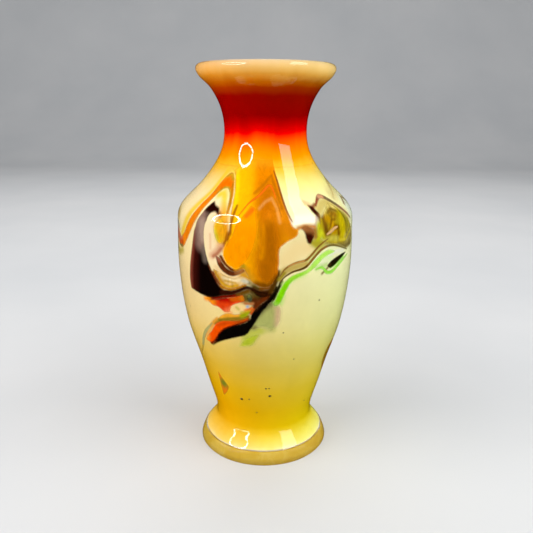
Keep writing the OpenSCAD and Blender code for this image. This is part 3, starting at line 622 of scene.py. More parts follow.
# Each bit: material slot, layer (0 lies lowest), how far its edge fades in mm, its colour,
# the strokes on it, and a rim drawn out along its edge (width, colour, strength)
BITS = {
    "amber_tongue": ("amber_glass", 0, 0.6, (255, 172, 0), [
        ([(1, 122), (2, 112), (3, 103)], 12, (228, 130, 0), 0.5),
        ([(3, 103), (3, 92), (3, 80)], 12, (194, 106, 2), 0.7),
        ([(-20, 112), (-16, 100), (-14, 92)], 8, (255, 184, 8), 0.8, 0.7),
        ([(-31, 112.4), (-26, 107.6), (-21.6, 101)], 1.6, (250, 204, 10)),
        ([(-34, 111.2), (-28, 106.6), (-23.6, 100), (-22, 93)], 1.3, (186, 120, 8), 0.6),
        ([(-20, 101.4), (-21, 97), (-21.6, 93.6), (-23.4, 90.8)], 1, (150, 84, 8), 0.7),
        ([(10, 104), (12, 97), (17, 93.5)], 5, (212, 124, 8), 0.7),
        ([(-9, 105.6), (-3, 107.8), (3, 110.2), (6.4, 111.2), (9.4, 106), (11.6, 101)],
         0.9, (178, 102, 4), 0.8, 0.8),
        ([(-4, 101), (0, 103), (5, 104), (8, 101), (9, 97)], 0.8, (232, 168, 92), 0.9, 0.45),
        ([(-8, 77.2), (-11, 80.4), (-14, 82)], 2.4, (202, 138, 20), 0.9),
        ([(-5, 75.6), (3, 75.2), (7, 78)], 2.6, (122, 68, 2), 0.9),
        ([(-13.2, 82)], 1.4, (156, 142, 24), 0.9, 0.8),
        ([(-34, 121), (12, 121)], 9, None, 0.9),
        ([(-42, 114), (-34, 117)], 5, None, 0.9),
    ], None),
    "orange_lobe": ("flame_glass", 1, 0.8, (255, 150, 0), [
        ([(-8, 101), (-12, 99)], 1.6, (240, 112, 10), 0.6),
        ([(-25, 88), (-20, 93), (-16, 97.5)], 0.9, (226, 128, 12), 0.8, 0.8),
        ([(-10, 86)], 3, (240, 140, 0), 0.9),
    ], None),
    "ochre_fold": ("ochre_glass", 1, 2.4, (204, 118, 3), [
        ([(3, 94), (3, 86), (2, 79)], 7, (170, 94, 1), 0.9),
        ([(-2.6, 96), (-2.6, 86)], 2.4, (216, 132, 0), 0.9),
        ([(2, 100.4)], 4, (214, 118, 8), 0.9),
    ], None),
    "chevron_thread": ("copper_glass", 2, 0.45, (226, 104, 14), [
        ([(8, 103), (10.5, 98)], 2, (190, 112, 20)),
    ], None),
    "brown_vein": ("copper_glass", 2, 0.3, (142, 78, 22), [], None),
    "orange_ribbon": ("copper_glass", 1, 0.5, (226, 124, 18), [
        ([(-66, 87), (-60, 90), (-54, 95), (-49, 100.5), (-45.6, 104.6)], 1.3, (242, 124, 6), 0.9),
        ([(-84, 89.5), (-76, 89), (-71, 87.5)], 5, (196, 120, 86), 0.7),
        ([(-70, 86), (-66, 86.4)], 2.2, (208, 86, 24)),
        ([(-71, 84.8), (-66, 84.9)], 1, (122, 112, 56)),
        ([(-33, 109.5), (-28, 105.5), (-25, 101)], 3, (222, 140, 22)),
        ([(-24.5, 100), (-23.4, 96)], 2, (190, 118, 12), 0.7),
        ([(-43, 107.6), (-38, 108.6), (-33, 107.6)], 2.4, (240, 110, 2), 0.9),
        ([(-42.4, 110.6), (-37, 111.5), (-32.6, 110)], 1.4, (192, 146, 26)),
        ([(-41.6, 104.8), (-38, 106.5), (-34, 106.6), (-30, 104.8), (-26.6, 101.2)],
         1, (168, 146, 26), 0.7),
        ([(-31.4, 108.2), (-27.4, 104), (-24.8, 99.4)], 0.7, (182, 116, 10)),
    ], (0.6, (172, 132, 44), 0.7)),
    "slate_thread": ("slate_glass", 2, 0.4, (104, 124, 140), [], None),
    "amber_bulb": ("honey_glass", 1, 1.0, (228, 172, 24), [
        ([(-27, 93.5)], 4, (232, 156, 20), 0.9),
        ([(-32.4, 93.4), (-31, 90.4)], 1.8, (208, 184, 32)),
    ], None),
    "aubergine_crescent": ("aubergine_glass", 1, 0.5, (10, 3, 2), [
        ([(-48, 92), (-50.5, 85), (-52, 78), (-52.5, 72)], 5, (56, 14, 8), 0.9),
        ([(-45, 99.5), (-49.5, 94), (-52.5, 86), (-55, 78), (-56, 71)], 2.6, (126, 56, 40), 0.9),
        ([(-44.4, 97), (-44.4, 93), (-43.4, 88.4)], 5.4, (138, 106, 92)),
        ([(-42.6, 95.4), (-42, 90)], 2.8, (166, 138, 120), 0.9),
        ([(-41.2, 86.4), (-39.8, 82.6)], 2.4, (112, 96, 84), 0.9, 0.8),
        ([(-41.8, 100.4), (-38, 100.4), (-34.4, 99.9), (-32.2, 99.3)], 3.2, (34, 5, 2), 0.4),
        ([(-31, 98.7)], 1.2, (120, 50, 24)),
        ([(-36.4, 80.8), (-33, 77.6), (-30, 74.8), (-26.4, 73)], 1, (116, 50, 22), 0.9, 0.8),
        ([(-28, 71.6), (-20, 72), (-12, 74)], 1.6, (46, 14, 4), 0.7),
        ([(-9, 74.2), (-4, 72.6), (2, 71.8)], 1.8, (46, 18, 3)),
    ], None),
    "umber_blot": ("umber_glass", 1, 0.5, (96, 42, 14), [
        ([(-31, 84.4), (-29, 83.4)], 1.6, (150, 84, 60)),
        ([(-17, 79.4), (-12.5, 80.6)], 1.6, (152, 90, 42)),
    ], None),
    "cream_swirl": ("opal_glass", 0, 0.9, (226, 188, 124), [
        ([(-32.4, 78.8), (-30, 76.6), (-27.4, 75)], 2.4, (190, 132, 20), 0.7),
        ([(-28, 74.8), (-22, 74.1), (-17, 74.9)], 1.4, (206, 150, 24), 0.7),
        ([(-26, 77.4), (-20, 76.6), (-13, 77.1)], 1.2, (234, 208, 156), 0.7),
        ([(-25, 76.2), (-18, 75.8)], 0.8, (196, 150, 60)),
        ([(-30, 78.6), (-24, 77.8), (-18, 77.6)], 0.8, (208, 164, 90)),
        ([(-13, 76.8), (-10, 76.4)], 1.4, (198, 190, 162)),
        ([(-9.2, 76)], 1.2, (150, 138, 100), 0.9),
    ], None),
    "red_flame": ("ruby_glass", 1, 0.6, (222, 62, 14), [
        ([(-40, 67.6), (-36, 67.2)], 3, (246, 136, 20)),
        ([(-29, 69), (-22, 69.3)], 2.2, (178, 14, 2), 0.9),
        ([(-22, 65.6), (-25, 64.8)], 2, (236, 114, 64), 0.9),
        ([(-21, 69.6), (-17, 70)], 1.6, (198, 86, 8)),
        ([(-14, 70.3)], 2.2, (198, 118, 18)),
        ([(-37, 68.3), (-31, 68.9), (-25, 69.8)], 0.8, (112, 20, 4)),
    ], None),
    "marigold_band": ("amber_glass", 1, 0.6, (236, 158, 38), [
        ([(-33, 60.5), (-25, 61.7), (-15, 62.7), (-11, 64)], 1, (142, 116, 28)),
        ([(-14.5, 63.6), (-10, 64.7)], 1.9, (152, 158, 12)),
        ([(-8.4, 66.6)], 1.8, (210, 96, 32), 0.9),
    ], None),
    "vermilion_wedge": ("ruby_glass", 1, 0.5, (240, 80, 2), [
        ([(-48.5, 50.6), (-45, 52.4)], 2.4, (250, 138, 38), 0.9),
        ([(-34, 58.2), (-28, 59.6), (-18, 60.9)], 1.2, (214, 72, 6), 0.9),
        ([(-18, 60.8), (-10, 62.8)], 2, (188, 74, 10)),
    ], None),
    "black_slash": ("black_glass", 1, 0.35, (8, 5, 3), [
        ([(3, 71.6), (7, 75)], 1, (52, 38, 4)),
        ([(-6, 66), (-2, 68.6), (2, 70.6)], 1, (48, 20, 4)),
        ([(-43, 49.2), (-38, 51)], 1.4, (72, 24, 8), 0.9),
    ], None),
    "moss_bead": ("olive_glass", 2, 0.8, (74, 76, 40), [
        # the lighter dab on the bead's top is a painted highlight, the darker one below it painted
        # shade
        ([(-9.8, 71.4)], 1.2, (112, 110, 50), 0.9),
        ([(-9.2, 69.8)], 1.2, (56, 64, 48), 0.9),
    ], None),
    "olive_thread": ("sage_glass", 1, 0.7, (164, 160, 100), [
        ([(-67, 41.8), (-58, 46)], 2, (184, 150, 46)),
    ], None),
    "lime_streak": ("lime_glass", 1, 0.6, (128, 208, 8), [
        ([(24, 79.4), (33, 82.6), (40, 85), (48, 85)], 4, (174, 226, 88), 0.7),
        ([(16, 78), (22, 79.2)], 3, (148, 214, 48), 0.9),
        ([(6.8, 68.2)], 1.8, (150, 198, 70), 0.9),
    ], None),
    "lime_loop": ("lime_glass", 1, 0.7, (142, 214, 66), [], None),
    "black_chip": ("black_glass", 1, 0.35, (24, 18, 4), [
        ([(42.6, 80), (45, 80.6)], 1.2, (60, 46, 14), 0.9),
    ], None),
    "lime_patch": ("lime_glass", 0, 2.0, (178, 190, 42), [], None),
    "sage_haze": ("sage_glass", 0, 2.0, (172, 174, 98), [
        ([(-10, 60.5), (-6, 64), (-1, 67), (4, 69.4)], 2.6, (98, 92, 54), 0.9),
        ([(-11, 58.2), (-6, 59)], 2, (122, 114, 60), 0.9),
        ([(9.4, 67), (9.4, 60.5)], 2.8, (202, 168, 126), 0.9),
        ([(7.6, 69.2)], 2.4, (160, 204, 108), 0.9),
    ], None),
    "umber_threads": ("umber_glass", 2, 0.3, (132, 90, 32), [
        ([(8.6, 75.8), (17, 79.9), (26, 81.4)], 1.6, (86, 58, 12)),
        ([(15, 82.2), (24, 83.4)], 1, (182, 130, 66)),
        ([(44, 87.6), (66, 84)], 2, (112, 98, 46)),
    ], None),
    "aubergine_chips": ("aubergine_glass", 1, 0.6, (56, 14, 4), [
        ([(22, 95.2), (26, 94.6), (31, 94)], 2.4, (150, 92, 44)),
        ([(31.6, 92.6)], 1.6, (130, 74, 26), 0.9),
        ([(36.8, 98)], 1.6, (112, 70, 40), 0.9),
        ([(31.4, 101.4)], 1.1, (170, 100, 50)),
    ], None),
    "mauve_thread": ("mauve_glass", 1, 0.5, (140, 98, 74), [
        ([(38, 101.2), (42, 102.5)], 1.6, (142, 70, 44)),
        ([(46, 103.5), (50, 103.3)], 1, (208, 150, 106), 0.9),
        ([(53, 102.6), (59, 100.4)], 1.6, (112, 98, 64), 0.9),
    ], None),
    "olive_patch": ("olive_glass", 0, 1.4, (176, 152, 20), [
        ([(40, 99), (46, 100.6), (54, 100)], 2.6, (200, 180, 92), 0.9),
        ([(40, 97.6), (40.6, 94), (43, 91.4)], 2.2, (118, 80, 12)),
        ([(43.4, 97), (47, 95), (49, 92.6)], 2.6, (188, 140, 8), 0.9),
        ([(48, 98), (52, 97.6)], 2.4, (150, 108, 18)),
        ([(45, 98.6), (50, 99.6), (55, 98.4), (56.6, 96)], 0.8, (130, 100, 28)),
        ([(50, 93.8), (53.6, 93), (54, 91.2)], 2, (110, 70, 2), 0.7),
        ([(57, 97), (58, 93), (60, 90)], 3.4, (186, 166, 6), 0.9),
        ([(62, 97.4), (66, 94), (70, 91)], 3, (150, 138, 34), 0.9),
        ([(66, 88), (75, 88.6)], 5, (166, 150, 78), 0.9),
        ([(54, 86.6), (62, 85.6), (72, 85.6)], 2.6, (120, 104, 52), 0.9),
        ([(42, 90.2), (47, 90), (52, 89.4)], 2, (186, 172, 60)),
        ([(58, 98.6), (63, 94.6), (64, 90.6)], 0.8, (124, 112, 20)),
        ([(44, 93.6), (46.4, 96.4), (50, 96.2)], 0.8, (138, 98, 10)),
        ([(36, 93), (37, 91)], 2.4, (190, 190, 30)),
        ([(55, 88.6), (63, 88), (72, 90.6)], 0.9, (196, 176, 40), 0.9),
    ], None),
    "blush_thread": ("mauve_glass", 1, 0.4, (214, 168, 108), [], None),
    "shoulder_ribbon": ("honey_glass", 1, 1.6, (196, 176, 110), [], None),
    "orange_flakes": ("copper_glass", 1, 0.5, (224, 122, 20), [
        ([(-42, 31.5)], 4, (122, 130, 34)),
        ([(64, 42), (72, 39), (80, 38)], 12, (160, 120, 26)),
    ], None),
    "back_tongue": ("amber_glass", 0, 0.8, (250, 166, 6), [
        ([(146, 112), (145, 96), (147, 84)], 8, (226, 126, 0), 0.6),
        ([(118, 120), (152, 120)], 8, None, 0.9),
    ], (0.8, (190, 128, 20), 0.7)),
    "back_ribbon": ("copper_glass", 1, 0.5, (228, 118, 20), [
        ([(256, 88.6), (270, 90)], 5, (196, 124, 80)),
    ], (0.7, (172, 132, 44), 0.7)),
    "back_crescent": ("aubergine_glass", 1, 0.6, (12, 4, 4), [
        ([(165, 90), (172, 82), (180, 73)], 2.4, (120, 58, 48), 0.9),
        ([(214, 70), (222, 72.6)], 3, (84, 44, 12), 0.9),
    ], None),
    "back_flame": ("ruby_glass", 1, 0.6, (228, 68, 14), [
        ([(216, 65.5), (224, 69)], 3, (242, 146, 50), 0.9),
    ], None),
    "back_slash": ("black_glass", 1, 0.4, (10, 6, 4), [], None),
    "back_lime_streak": ("lime_glass", 1, 0.6, (136, 210, 20), [
        ([(146, 67), (162, 68.6)], 4, (184, 230, 104)),
    ], None),
    "back_sage_haze": ("sage_glass", 0, 2.0, (172, 174, 98), [
        ([(131, 58), (142, 55)], 4, (120, 114, 66), 0.9),
    ], None),
}

# How strongly the glass of a bit is streaked, where it isn't the usual share
USUAL_STREAK = 0.1
STREAKS = {
    "olive_patch": 0.3, "umber_blot": 0.3, "cream_swirl": 0.2, "amber_bulb": 0.18,
    "orange_ribbon": 0.16,
}


# ---- Materials ---------------------------------------------------------------


class Nodes:
    """A material's or group's node tree, with short calls to fill it."""

    def __init__(self, tree):
        self.tree = tree
        tree.nodes.clear()

    def add(self, kind, **inputs):
        """A shader node; an underscore stands for the space in an input's name."""
        node = self.tree.nodes.new("ShaderNode" + kind)
        for name, value in inputs.items():
            self.set(node, name.replace("_", " "), value)
        return node

    def set(self, node, name, value):
        socket = node.inputs[int(name) if name.isdigit() else name]
        if isinstance(value, bpy.types.NodeSocket):
            self.tree.links.new(value, socket)
        else:
            socket.default_value = value

    def math(self, operation, a, b):
        node = self.tree.nodes.new("ShaderNodeMath")
        node.operation = operation
        self.set(node, "0", a)
        self.set(node, "1", b)
        return node.outputs[0]

    def scaled(self, x, y, z):
        """Object coordinates, scaled per axis."""
        place = self.add("TexCoord").outputs["Object"]
        mapping = self.add("Mapping", Vector=place, Scale=(x, y, z))
        return mapping.outputs[0]

    def grain(self, where, scale, detail=3.0, distortion=0.0):
        node = self.add(
            "TexNoise", Vector=where, Scale=scale, Detail=detail, Distortion=distortion
        )
        return node.outputs["Fac"]

    def spread(self, value, low, high, to_low, to_high):
        ends = {"From_Min": low, "From_Max": high, "To_Min": to_low, "To_Max": to_high}
        return self.add("MapRange", Value=value, **ends).outputs[0]

    def mottle(self, grain, low, high):
        """A grain's usual range, spread from low to high."""
        return self.spread(grain, 0.3, 0.7, low, high)

    def mix(self, factor, a, b, how="MIX"):
        node = self.tree.nodes.new("ShaderNodeMix")
        node.data_type = "RGBA"
        node.blend_type = how
        self.set(node, "0", factor)
        self.set(node, "6", a)
        self.set(node, "7", b)
        return node.outputs[2]

    def shaded(self, colour, shade):
        """A colour darkened or lightened by a factor near 1."""
        grey = self.add("CombineColor", Red=shade, Green=shade, Blue=shade).outputs[0]
        return self.mix(1.0, colour, grey, "MULTIPLY")

    def ramp(self, value, stops, top=1):
        """Colours along a value, at stops that are measured up to top."""
        node = self.add("ValToRGB", Fac=value)
        band = node.color_ramp
        while len(band.elements) > 1:
            band.elements.remove(band.elements[-1])
        for i, (at, colour) in enumerate(stops):
            point = band.elements[0] if i == 0 else band.elements.new(at / top)
            point.position = at / top
            point.color = (*linear(colour), 1)
        return node.outputs[0]

    def bumped(self, height, strength, distance):
        return self.add("Bump", Strength=strength, Distance=distance, Height=height).outputs[0]

    def principled(self, **inputs):
        return self.add("BsdfPrincipled", **inputs).outputs[0]

    def paint(self):
        """The colour and cover laid on the mesh."""
        node = self.add("Attribute")
        node.attribute_name = "paint"
        return node.outputs["Color"], node.outputs["Alpha"]

    def switched(self, choice, off, on):
        """One shader or the other, by a factor of 0 or 1."""
        node = self.add("MixShader", Fac=choice)
        self.tree.links.new(off, node.inputs[1])
        self.tree.links.new(on, node.inputs[2])
        return node.outputs[0]


def new_material(name):
    material = bpy.data.materials.new(name)
    material.use_nodes = True
    return material, Nodes(material.node_tree)


def show(nodes, shader):
    output = nodes.add("OutputMaterial")
    nodes.tree.links.new(shader, output.inputs["Surface"])


def drawn_height(n, z):
    """Height as a share of the vase's, wavering where the melting glass was drawn down."""
    height = n.math("DIVIDE", z, HEIGHT * MM)
    streak = n.mottle(n.grain(n.scaled(1, 1, 0.12), 170, 2.0, 0.4), -1, 1)
    reach = n.add("ValToRGB", Fac=height)
    band = reach.color_ramp.elements
    for i, (at, share) in enumerate(
        ((0.0, 0.25), (0.72, 0.3), (0.8, 0.6), (0.86, 0.5), (0.94, 0.15))
    ):
        point = band[i] if i < 2 else band.new(at)
        point.position = at
        point.color = (share, share, share, 1)
    shift = n.math("MULTIPLY", streak, reach.outputs[0])
    return n.math("ADD", height, n.math("MULTIPLY", shift, 0.011))


def left_to_right(n, x, y):
    """From 0 at the vase's left side to 1 at its right."""
    flat = n.add("CombineXYZ", X=x, Y=y)
    way = n.add("VectorMath")
    way.operation = "NORMALIZE"
    n.set(way, "0", flat.outputs[0])
    side = n.add("SeparateXYZ", Vector=way.outputs[0])
    return n.spread(side.outputs["X"], -0.85, 0.85, 0, 1)


def gather_colour():
    """Group: the gather's colour by height, streaked as the glass was drawn."""
    tree = bpy.data.node_groups.new("gather_colour", "ShaderNodeTree")
    tree.interface.new_socket("Color", in_out="OUTPUT", socket_type="NodeSocketColor")
    n = Nodes(tree)
    place = n.add("SeparateXYZ", Vector=n.scaled(1, 1, 1)).outputs
    height = drawn_height(n, place["Z"])
    across = left_to_right(n, place["X"], place["Y"])
    left, right = (n.ramp(height, stops, HEIGHT) for stops in (LEFT_RAMP, RIGHT_RAMP))
    cloud = n.mottle(n.grain(n.scaled(1, 1, 0.5), 90, 3.0, 0.5), 0.96, 1.03)
    curd = n.mottle(n.grain(n.scaled(1, 1, 1), 480, 2.0), 0.985, 1.01)
    colour = n.shaded(n.mix(across, left, right), n.math("MULTIPLY", cloud, curd))
    output = tree.nodes.new("NodeGroupOutput")
    tree.links.new(colour, output.inputs[0])
    return tree


def gather_glass(name, group, tinted=False):
    """A gather or wrap in the body's colours, with the tints painted on it if it has any."""
    material, n = new_material(name)
    use = n.tree.nodes.new("ShaderNodeGroup")
    use.node_tree = group
    colour = use.outputs[0]
    if tinted:
        tint, cover = n.paint()
        colour = n.mix(cover, colour, tint)
    rough = n.mottle(n.grain(n.scaled(1, 1, 1), 260), 0.3, 0.42)
    bump = n.bumped(n.grain(n.scaled(1, 1, 0.4), 300), 0.05, 0.0002)
    show(n, n.principled(
        Base_Color=colour, Roughness=rough, Normal=bump, Specular_IOR_Level=INNER_GLOSS
    ))
    return material


def bit_glass(name, streak):
    """Coloured glass of a bit: its painted colour, drawn into fine streaks."""
    material, n = new_material(name)
    paint, cover = n.paint()
    flow = n.mottle(n.grain(n.scaled(1, 1, 0.45), 420, 4.0, 1.4), 1 - streak, 1 + streak)
    colour = n.shaded(paint, flow)
    rough = n.mottle(n.grain(n.scaled(1, 1, 1), 700), 0.25, 0.4)
    bump = n.bumped(n.grain(n.scaled(1, 1, 0.5), 600), 0.06, 0.0002)
    show(n, n.principled(
        Base_Color=colour, Roughness=rough, Normal=bump, Alpha=cover,
        Specular_IOR_Level=INNER_GLOSS,
    ))
    return material


def casing_glass():
    """Clear glass. Lamps and bounced light pass it unbent, so it doesn't darken what it covers."""
    material, n = new_material("casing_glass")
    bump = n.bumped(n.grain(n.scaled(1, 1, 0.6), 110, 2.0), 0.03, 0.0006)
    tone = (0.985, 0.99, 0.98, 1)
    glass = n.add("BsdfGlass", Color=tone, Roughness=0.03, IOR=GLASS_IOR, Normal=bump)
    clear = n.add("BsdfTransparent").outputs[0]
    path = n.add("LightPath").outputs
    bounced = n.switched(path["Is Diffuse Ray"], glass.outputs[0], clear)
    show(n, n.switched(path["Is Shadow Ray"], bounced, clear))
    return material


def opal_material():
    """Milky white glass that glows a little from within."""
    material, n = new_material("opal")
    cloud = n.grain(n.scaled(1, 1, 0.4), 120, 4.0, 1.0)
    colour = n.ramp(cloud, [(0.3, (238, 226, 206)), (0.5, (246, 238, 222)), (0.7, (250, 246, 236))])
    rough = n.mottle(n.grain(n.scaled(1, 1, 1), 300), 0.06, 0.14)
    bump = n.bumped(n.grain(n.scaled(1, 1, 0.5), 140), 0.06, 0.0005)
    show(n, n.principled(
        Base_Color=colour, Roughness=rough, Normal=bump, IOR=GLASS_IOR, Subsurface_Weight=0.15,
        Subsurface_Radius=(0.003, 0.0022, 0.0015), Subsurface_Scale=1.0,
    ))
    return material


def pad_material():
    """Amber glass of the foot, thick enough to look nearly solid."""
    material, n = new_material("foot_amber")
    cloud = n.grain(n.scaled(1, 1, 0.8), 160, 3.0, 0.8)
    colour = n.ramp(cloud, [(0.3, (216, 172, 44)), (0.5, (224, 184, 60)), (0.72, (232, 196, 84))])
    rough = n.mottle(n.grain(n.scaled(1, 1, 1), 400), 0.12, 0.24)
    show(n, n.principled(
        Base_Color=colour, Roughness=rough, IOR=GLASS_IOR, Transmission_Weight=0.25,
        Specular_IOR_Level=0.2,
    ))
    return material


def grit_material():
    """Dark frit, grain by grain a little browner or blacker."""
    material, n = new_material("frit")
    cloud = n.grain(n.scaled(1, 1, 1), 2500, 2.0)
    colour = n.ramp(cloud, [(0.35, (22, 16, 4)), (0.65, (74, 58, 14))])
    rough = n.mottle(cloud, 0.3, 0.5)
    show(n, n.principled(Base_Color=colour, Roughness=rough))
    return material


# ---- The vase ----------------------------------------------------------------


# Where the profiles' points stay close together, for the painted side of the vase
PAINTED_HEIGHTS = (45, 115)
BODY_TURNS = np.r_[np.arange(-82, 86, 0.7), np.arange(86, 278, 1.5)]
# Depths below the gather's outer wall, in mm: its own lining and the wraps', the groove
# that the collars lie in, and how far the casing reaches in
GATHER_THICK, WRAP_THICK, COLLAR_GROOVE, CASING_INSET = 1.2, 0.7, 0.35, 0.3
CASING_TURNS, CASING_RIPPLE = 320, 0.0012
PAD_LIFT = 0.03  # keeps the pad's underside off the floor


def placed(piece, node, material):
    """Stands a finished piece in for its CAD node."""
    piece.data.materials.append(material)
    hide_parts(node)
    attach(piece, BODY)


def stretch(path, low, high):
    """The part of a wall between two heights."""
    table = path[:, 1]
    ends = [[np.interp(z, table, path[:, 0]), z] for z in (low, high)]
    return np.vstack([ends[0], path[(table > low + 0.1) & (table < high - 0.1)], ends[1]])


def node_heights(node):
    low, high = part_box(node)
    return low.z / MM, high.z / MM


def collar_groove(z):
    """How deep the gather is let in under the two collars."""
    foot, top = node_heights("amber_collar")[0], node_heights("ruby_collar")[1]
    risen = smooth_step(foot - 0.3, foot + 0.3, z)
    return COLLAR_GROOVE * risen * (1 - smooth_step(top - 0.3, top + 0.3, z))


def build_body(group):
    """The straw gather, with the tints painted on it."""
    low, high = node_heights("straw_gather")
    skin = stretch(straw_wall, low, high)
    z = skin[:, 1]
    fine = (z > PAINTED_HEIGHTS[0]) & (z < PAINTED_HEIGHTS[1])
    skin = skin[fine | (np.arange(len(skin)) % 3 == 0) | (z == high)]
    lining = stretch(moved_in(straw_wall, GATHER_THICK), low, high)[::8]
    path = np.vstack([moved_in(skin, collar_groove(skin[:, 1])), lining[::-1]])
    body = ring_skin("straw_skin", path, BODY_TURNS)
    points = np.array([v.co for v in body.data.vertices]) / MM
    azimuth = np.degrees(np.arctan2(points[:, 0], -points[:, 1]))
    set_paint(body, painted(np.column_stack([azimuth, points[:, 2]]), None, GATHER_TINTS))
    placed(body, "straw_gather", gather_glass("straw", group, tinted=True))


def build_wraps(group):
    """The two collars round the neck and the wrap at the lip."""
    for name, node, slot in (
        ("ruby_band", "ruby_collar", "ruby_glass"),
        ("amber_band", "amber_collar", "flame_glass"),
        ("lip_band", "lip_wrap", "caramel_glass"),
    ):
        skin = stretch(straw_wall, *node_heights(node))
        band = ring_skin(name, np.vstack([skin, moved_in(skin, WRAP_THICK)[::-2]]))
        placed(band, node, gather_glass(name + "_glass", group))


def build_clear():
    lining = moved_in(straw_wall, CASING_INSET)[::3][::-1]
    path = np.vstack([outer_wall, lining])
    casing = ring_skin("clear_skin", path, even_turns(CASING_TURNS), ripple=CASING_RIPPLE)
    placed(casing, "clear_casing", casing_glass())


def build_opal():
    """The opal bubble, and the amber pad under its skirt."""
    bubble = domed_skin("opal_bubble", curve_through(opal_path, 0.9, sharp=35))
    placed(bubble, "opal_core", opal_material())
    pad = domed_skin("foot_amber_pad", evenly(pad_path, 0.8) + (0, PAD_LIFT))
    placed(pad, "foot_pad", pad_material())


def pebbles(node, layer, order):
    """The lenses of all solids of a node, as one set of points and faces."""
    rows, faces = [], []
    for loop in outlines(node):
        points, triangles = pebble(loop, SPILLS[layer], LIFTS[layer] + ORDER_LIFT * order)
        start = sum(len(r) for r in rows)
        rows.append(points)
        faces += [tuple(start + i for i in f) for f in triangles]
    return np.vstack(rows), faces


def bit_paint(rows, fade, base, strokes, rim):
    """Colour and cover of a bit: its strokes, its drawn-out rim, and its fading edge."""
    edge = rows[:, 3]
    paint = painted(rows[:, :2], base, strokes)
    if rim:
        width, tone, strength = rim
        share = (1 - smooth_step(0, width, edge)) * strength
        paint[:, :3] += (linear(tone) - paint[:, :3]) * share[:, None]
    paint[:, 3] *= smooth_step(-0.02, fade, edge)
    return paint


def build_bits():
    for order, (node, (slot, layer, *look)) in enumerate(BITS.items()):
        rows, faces = pebbles(node, layer, order)
        points = hand_blown(on_vase(rows[:, 0], rows[:, 1], rows[:, 2]))
        piece = finish_mesh(node + "_glass", points, faces, crease=60)
        set_paint(piece, bit_paint(rows, *look))
        piece.visible_shadow = False
        piece.visible_diffuse = False
        placed(piece, node, bit_glass(node + "_colour", STREAKS.get(node, USUAL_STREAK)))


def loose_parts(mesh):
    """The points in mm of each part of a mesh that hangs together, from left to right."""
    work = bmesh.new()
    work.from_mesh(mesh)
    bmesh.ops.remove_doubles(work, verts=work.verts, dist=1e-6)
    left, parts = set(work.verts), []
    while left:
        todo, part = [left.pop()], []
        while todo:
            v = todo.pop()
            part.append(v.co.copy())
            near = {edge.other_vert(v) for edge in v.link_edges} & left
            left -= near
            todo += near
        parts.append(np.array(part) / MM)
    work.free()
    return sorted(parts, key=lambda part: tuple(part.mean(axis=0).round(2)))


def build_specks():
    """Grains of frit, each a little rough, at the places of the CAD's grains."""
    out = bmesh.new()
    for i, grain in enumerate(loose_parts(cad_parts["frit_specks"].data)):
        centre = (grain.max(axis=0) + grain.min(axis=0)) / 2
        size = float(np.ptp(grain[:, 2])) / 2
        way = Vector((centre[0], centre[1], 0)).normalized()
        ball = bmesh.ops.create_icosphere(out, subdivisions=3, radius=1.3 * size)["verts"]
        for v in ball:
            bump = 1 + 0.22 * noise.noise(v.co * (1.4 / size) + Vector((7 * i, 0, 0)))
            v.co = v.co * bump + Vector(centre) + way * (0.1 + size * 0.5)
    mesh = bpy.data.meshes.new("frit_grains")
    out.to_mesh(mesh)
    out.free()
    points = np.array([v.co for v in mesh.vertices])
    mesh.vertices.foreach_set("co", (hand_blown(points) * MM).ravel())
    smoothed(mesh)
    placed(linked("frit_grains", mesh), "frit_specks", grit_material())


# ---- Stage, light and camera -------------------------------------------------


LAMP_DISTANCE = 0.6
AIM = Vector((0, 0, 0.085))


def aimed(piece, azimuth, elevation, distance):
    """Places a thing round the vase, facing it."""
    a, e = math.radians(azimuth), math.radians(elevation)
    way = Vector((math.sin(a) * math.cos(e), -math.cos(a) * math.cos(e), math.sin(e)))
    piece.location = AIM + way * distance
    piece.rotation_euler = (-way).to_track_quat("-Z", "Y").to_euler()


def emitter(name, points, faces, strength, tone):
    """A lamp that is only seen where the glass reflects it."""
    mesh = bpy.data.meshes.new(name)
    mesh.from_pydata(points, [], faces)
    piece = linked(name, mesh)
    material, n = new_material(name)
    show(n, n.add("Emission", Color=(*tone, 1), Strength=strength).outputs[0])
    mesh.materials.append(material)
    piece.visible_camera = False
    piece.visible_diffuse = False
    piece.visible_shadow = False
    piece.visible_transmission = False
    return piece


def ring_lamp(inner, outer, count=64):
    turns = [2 * math.pi * i / count for i in range(count)]
    points = [(r * math.cos(a), r * math.sin(a), 0) for r in (inner, outer) for a in turns]
    return emitter("ring_lamp", points, ring_faces(0, count, count), 24, (1, 0.99, 0.95))


def softbox():
    """A four-cornered panel, narrower towards its top and leaning aside."""
    corners_at = [(-0.30, -0.31, 0), (0.08, -0.31, 0), (0.24, 0.31, 0), (0.11, 0.31, 0)]
    return emitter("softbox", corners_at, [(0, 1, 2, 3)], 5.0, (1, 0.99, 0.93))


def soft_light(name, power, size):
    """A broad light that the glass doesn't mirror."""
    lamp = bpy.data.lights.new(name, "AREA")
    lamp.energy = power
    lamp.size = size
    lamp.specular_factor = 0
    piece = linked(name, lamp)
    piece.visible_glossy = False
    piece.visible_transmission = False
    return piece


def build_lights():
    aimed(ring_lamp(0.160, 0.190), -55, 33, LAMP_DISTANCE)
    aimed(softbox(), 60, 46, LAMP_DISTANCE)
    aimed(soft_light("key", 6.4, 0.8), 62, 36, 0.9)
    aimed(soft_light("fill", 6.4, 0.8), -62, 34, 0.9)
    aimed(soft_light("back", 3.5, 0.9), 180, 50, 0.9)


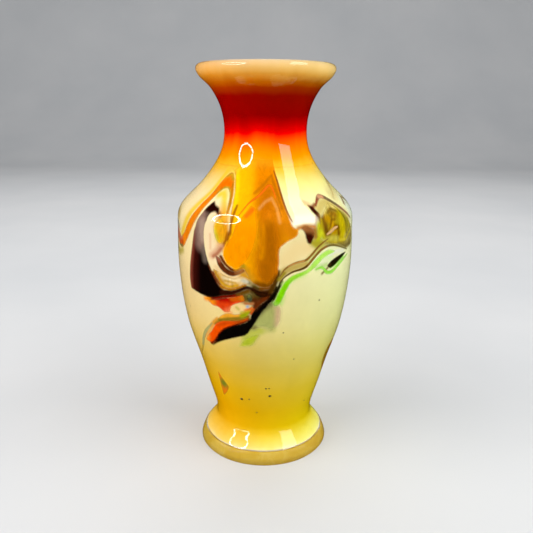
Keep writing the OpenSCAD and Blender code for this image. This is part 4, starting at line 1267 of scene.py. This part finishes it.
def paper_material():
    material, n = new_material("sweep_paper")
    cloud = n.grain(n.scaled(1, 1, 1), 6, 3.0)
    colour = n.ramp(cloud, [(0.3, (196, 197, 198)), (0.7, (204, 204, 204))])
    show(n, n.principled(Base_Color=colour, Roughness=0.75, Specular_IOR_Level=0.2))
    return material


def build_stage():
    """A pale seamless sweep: floor, cove and backdrop in one."""
    front, back, top, cove, half_width = -2.5, 1.1, 2.2, 0.5, 3.0
    turns = [math.radians(d) for d in range(10, 91, 10)]
    profile = [(front, 0.0), (back, 0.0)]
    profile += [(back + cove * math.sin(a), cove - cove * math.cos(a)) for a in turns]
    profile.append((back + cove, top))
    points = [(x, y, z) for y, z in profile for x in (-half_width, half_width)]
    faces = [(2 * i, 2 * i + 1, 2 * i + 3, 2 * i + 2) for i in range(len(profile) - 1)]
    mesh = bpy.data.meshes.new("sweep")
    mesh.from_pydata(points, [], faces)
    smoothed(mesh)
    mesh.materials.append(paper_material())
    floor = linked("sweep", mesh)
    floor.visible_glossy = False


def build_world():
    """Even studio air, which the glass doesn't mirror."""
    world = bpy.data.worlds.new("studio")
    bpy.context.scene.world = world
    world.use_nodes = True
    air = world.node_tree.nodes["Background"].inputs
    air["Color"].default_value = (0.9, 0.92, 0.95, 1)
    air["Strength"].default_value = 0.55
    world.cycles_visibility.glossy = False


def build_camera():
    """A close view from just below the lip's height, tipped down a little."""
    distance, height, tilt, roll = 0.23235, 0.13599, 74.93, 0.383
    data = bpy.data.cameras.new("camera")
    data.lens = 40.92
    data.sensor_width = 36
    data.shift_x = 0.0038
    data.clip_start = 0.01
    camera = linked("camera", data)
    camera.matrix_world = (
        Matrix.Translation((0, -distance, height))
        @ Matrix.Rotation(math.radians(tilt), 4, "X")
        @ Matrix.Rotation(math.radians(roll), 4, "Z")
    )
    bpy.context.scene.camera = camera


bpy.context.scene.view_settings.view_transform = "Standard"
build_camera()
build_stage()
build_world()
build_lights()
shared_colour = gather_colour()
build_body(shared_colour)
build_wraps(shared_colour)
build_opal()
build_bits()
build_specks()
build_clear()
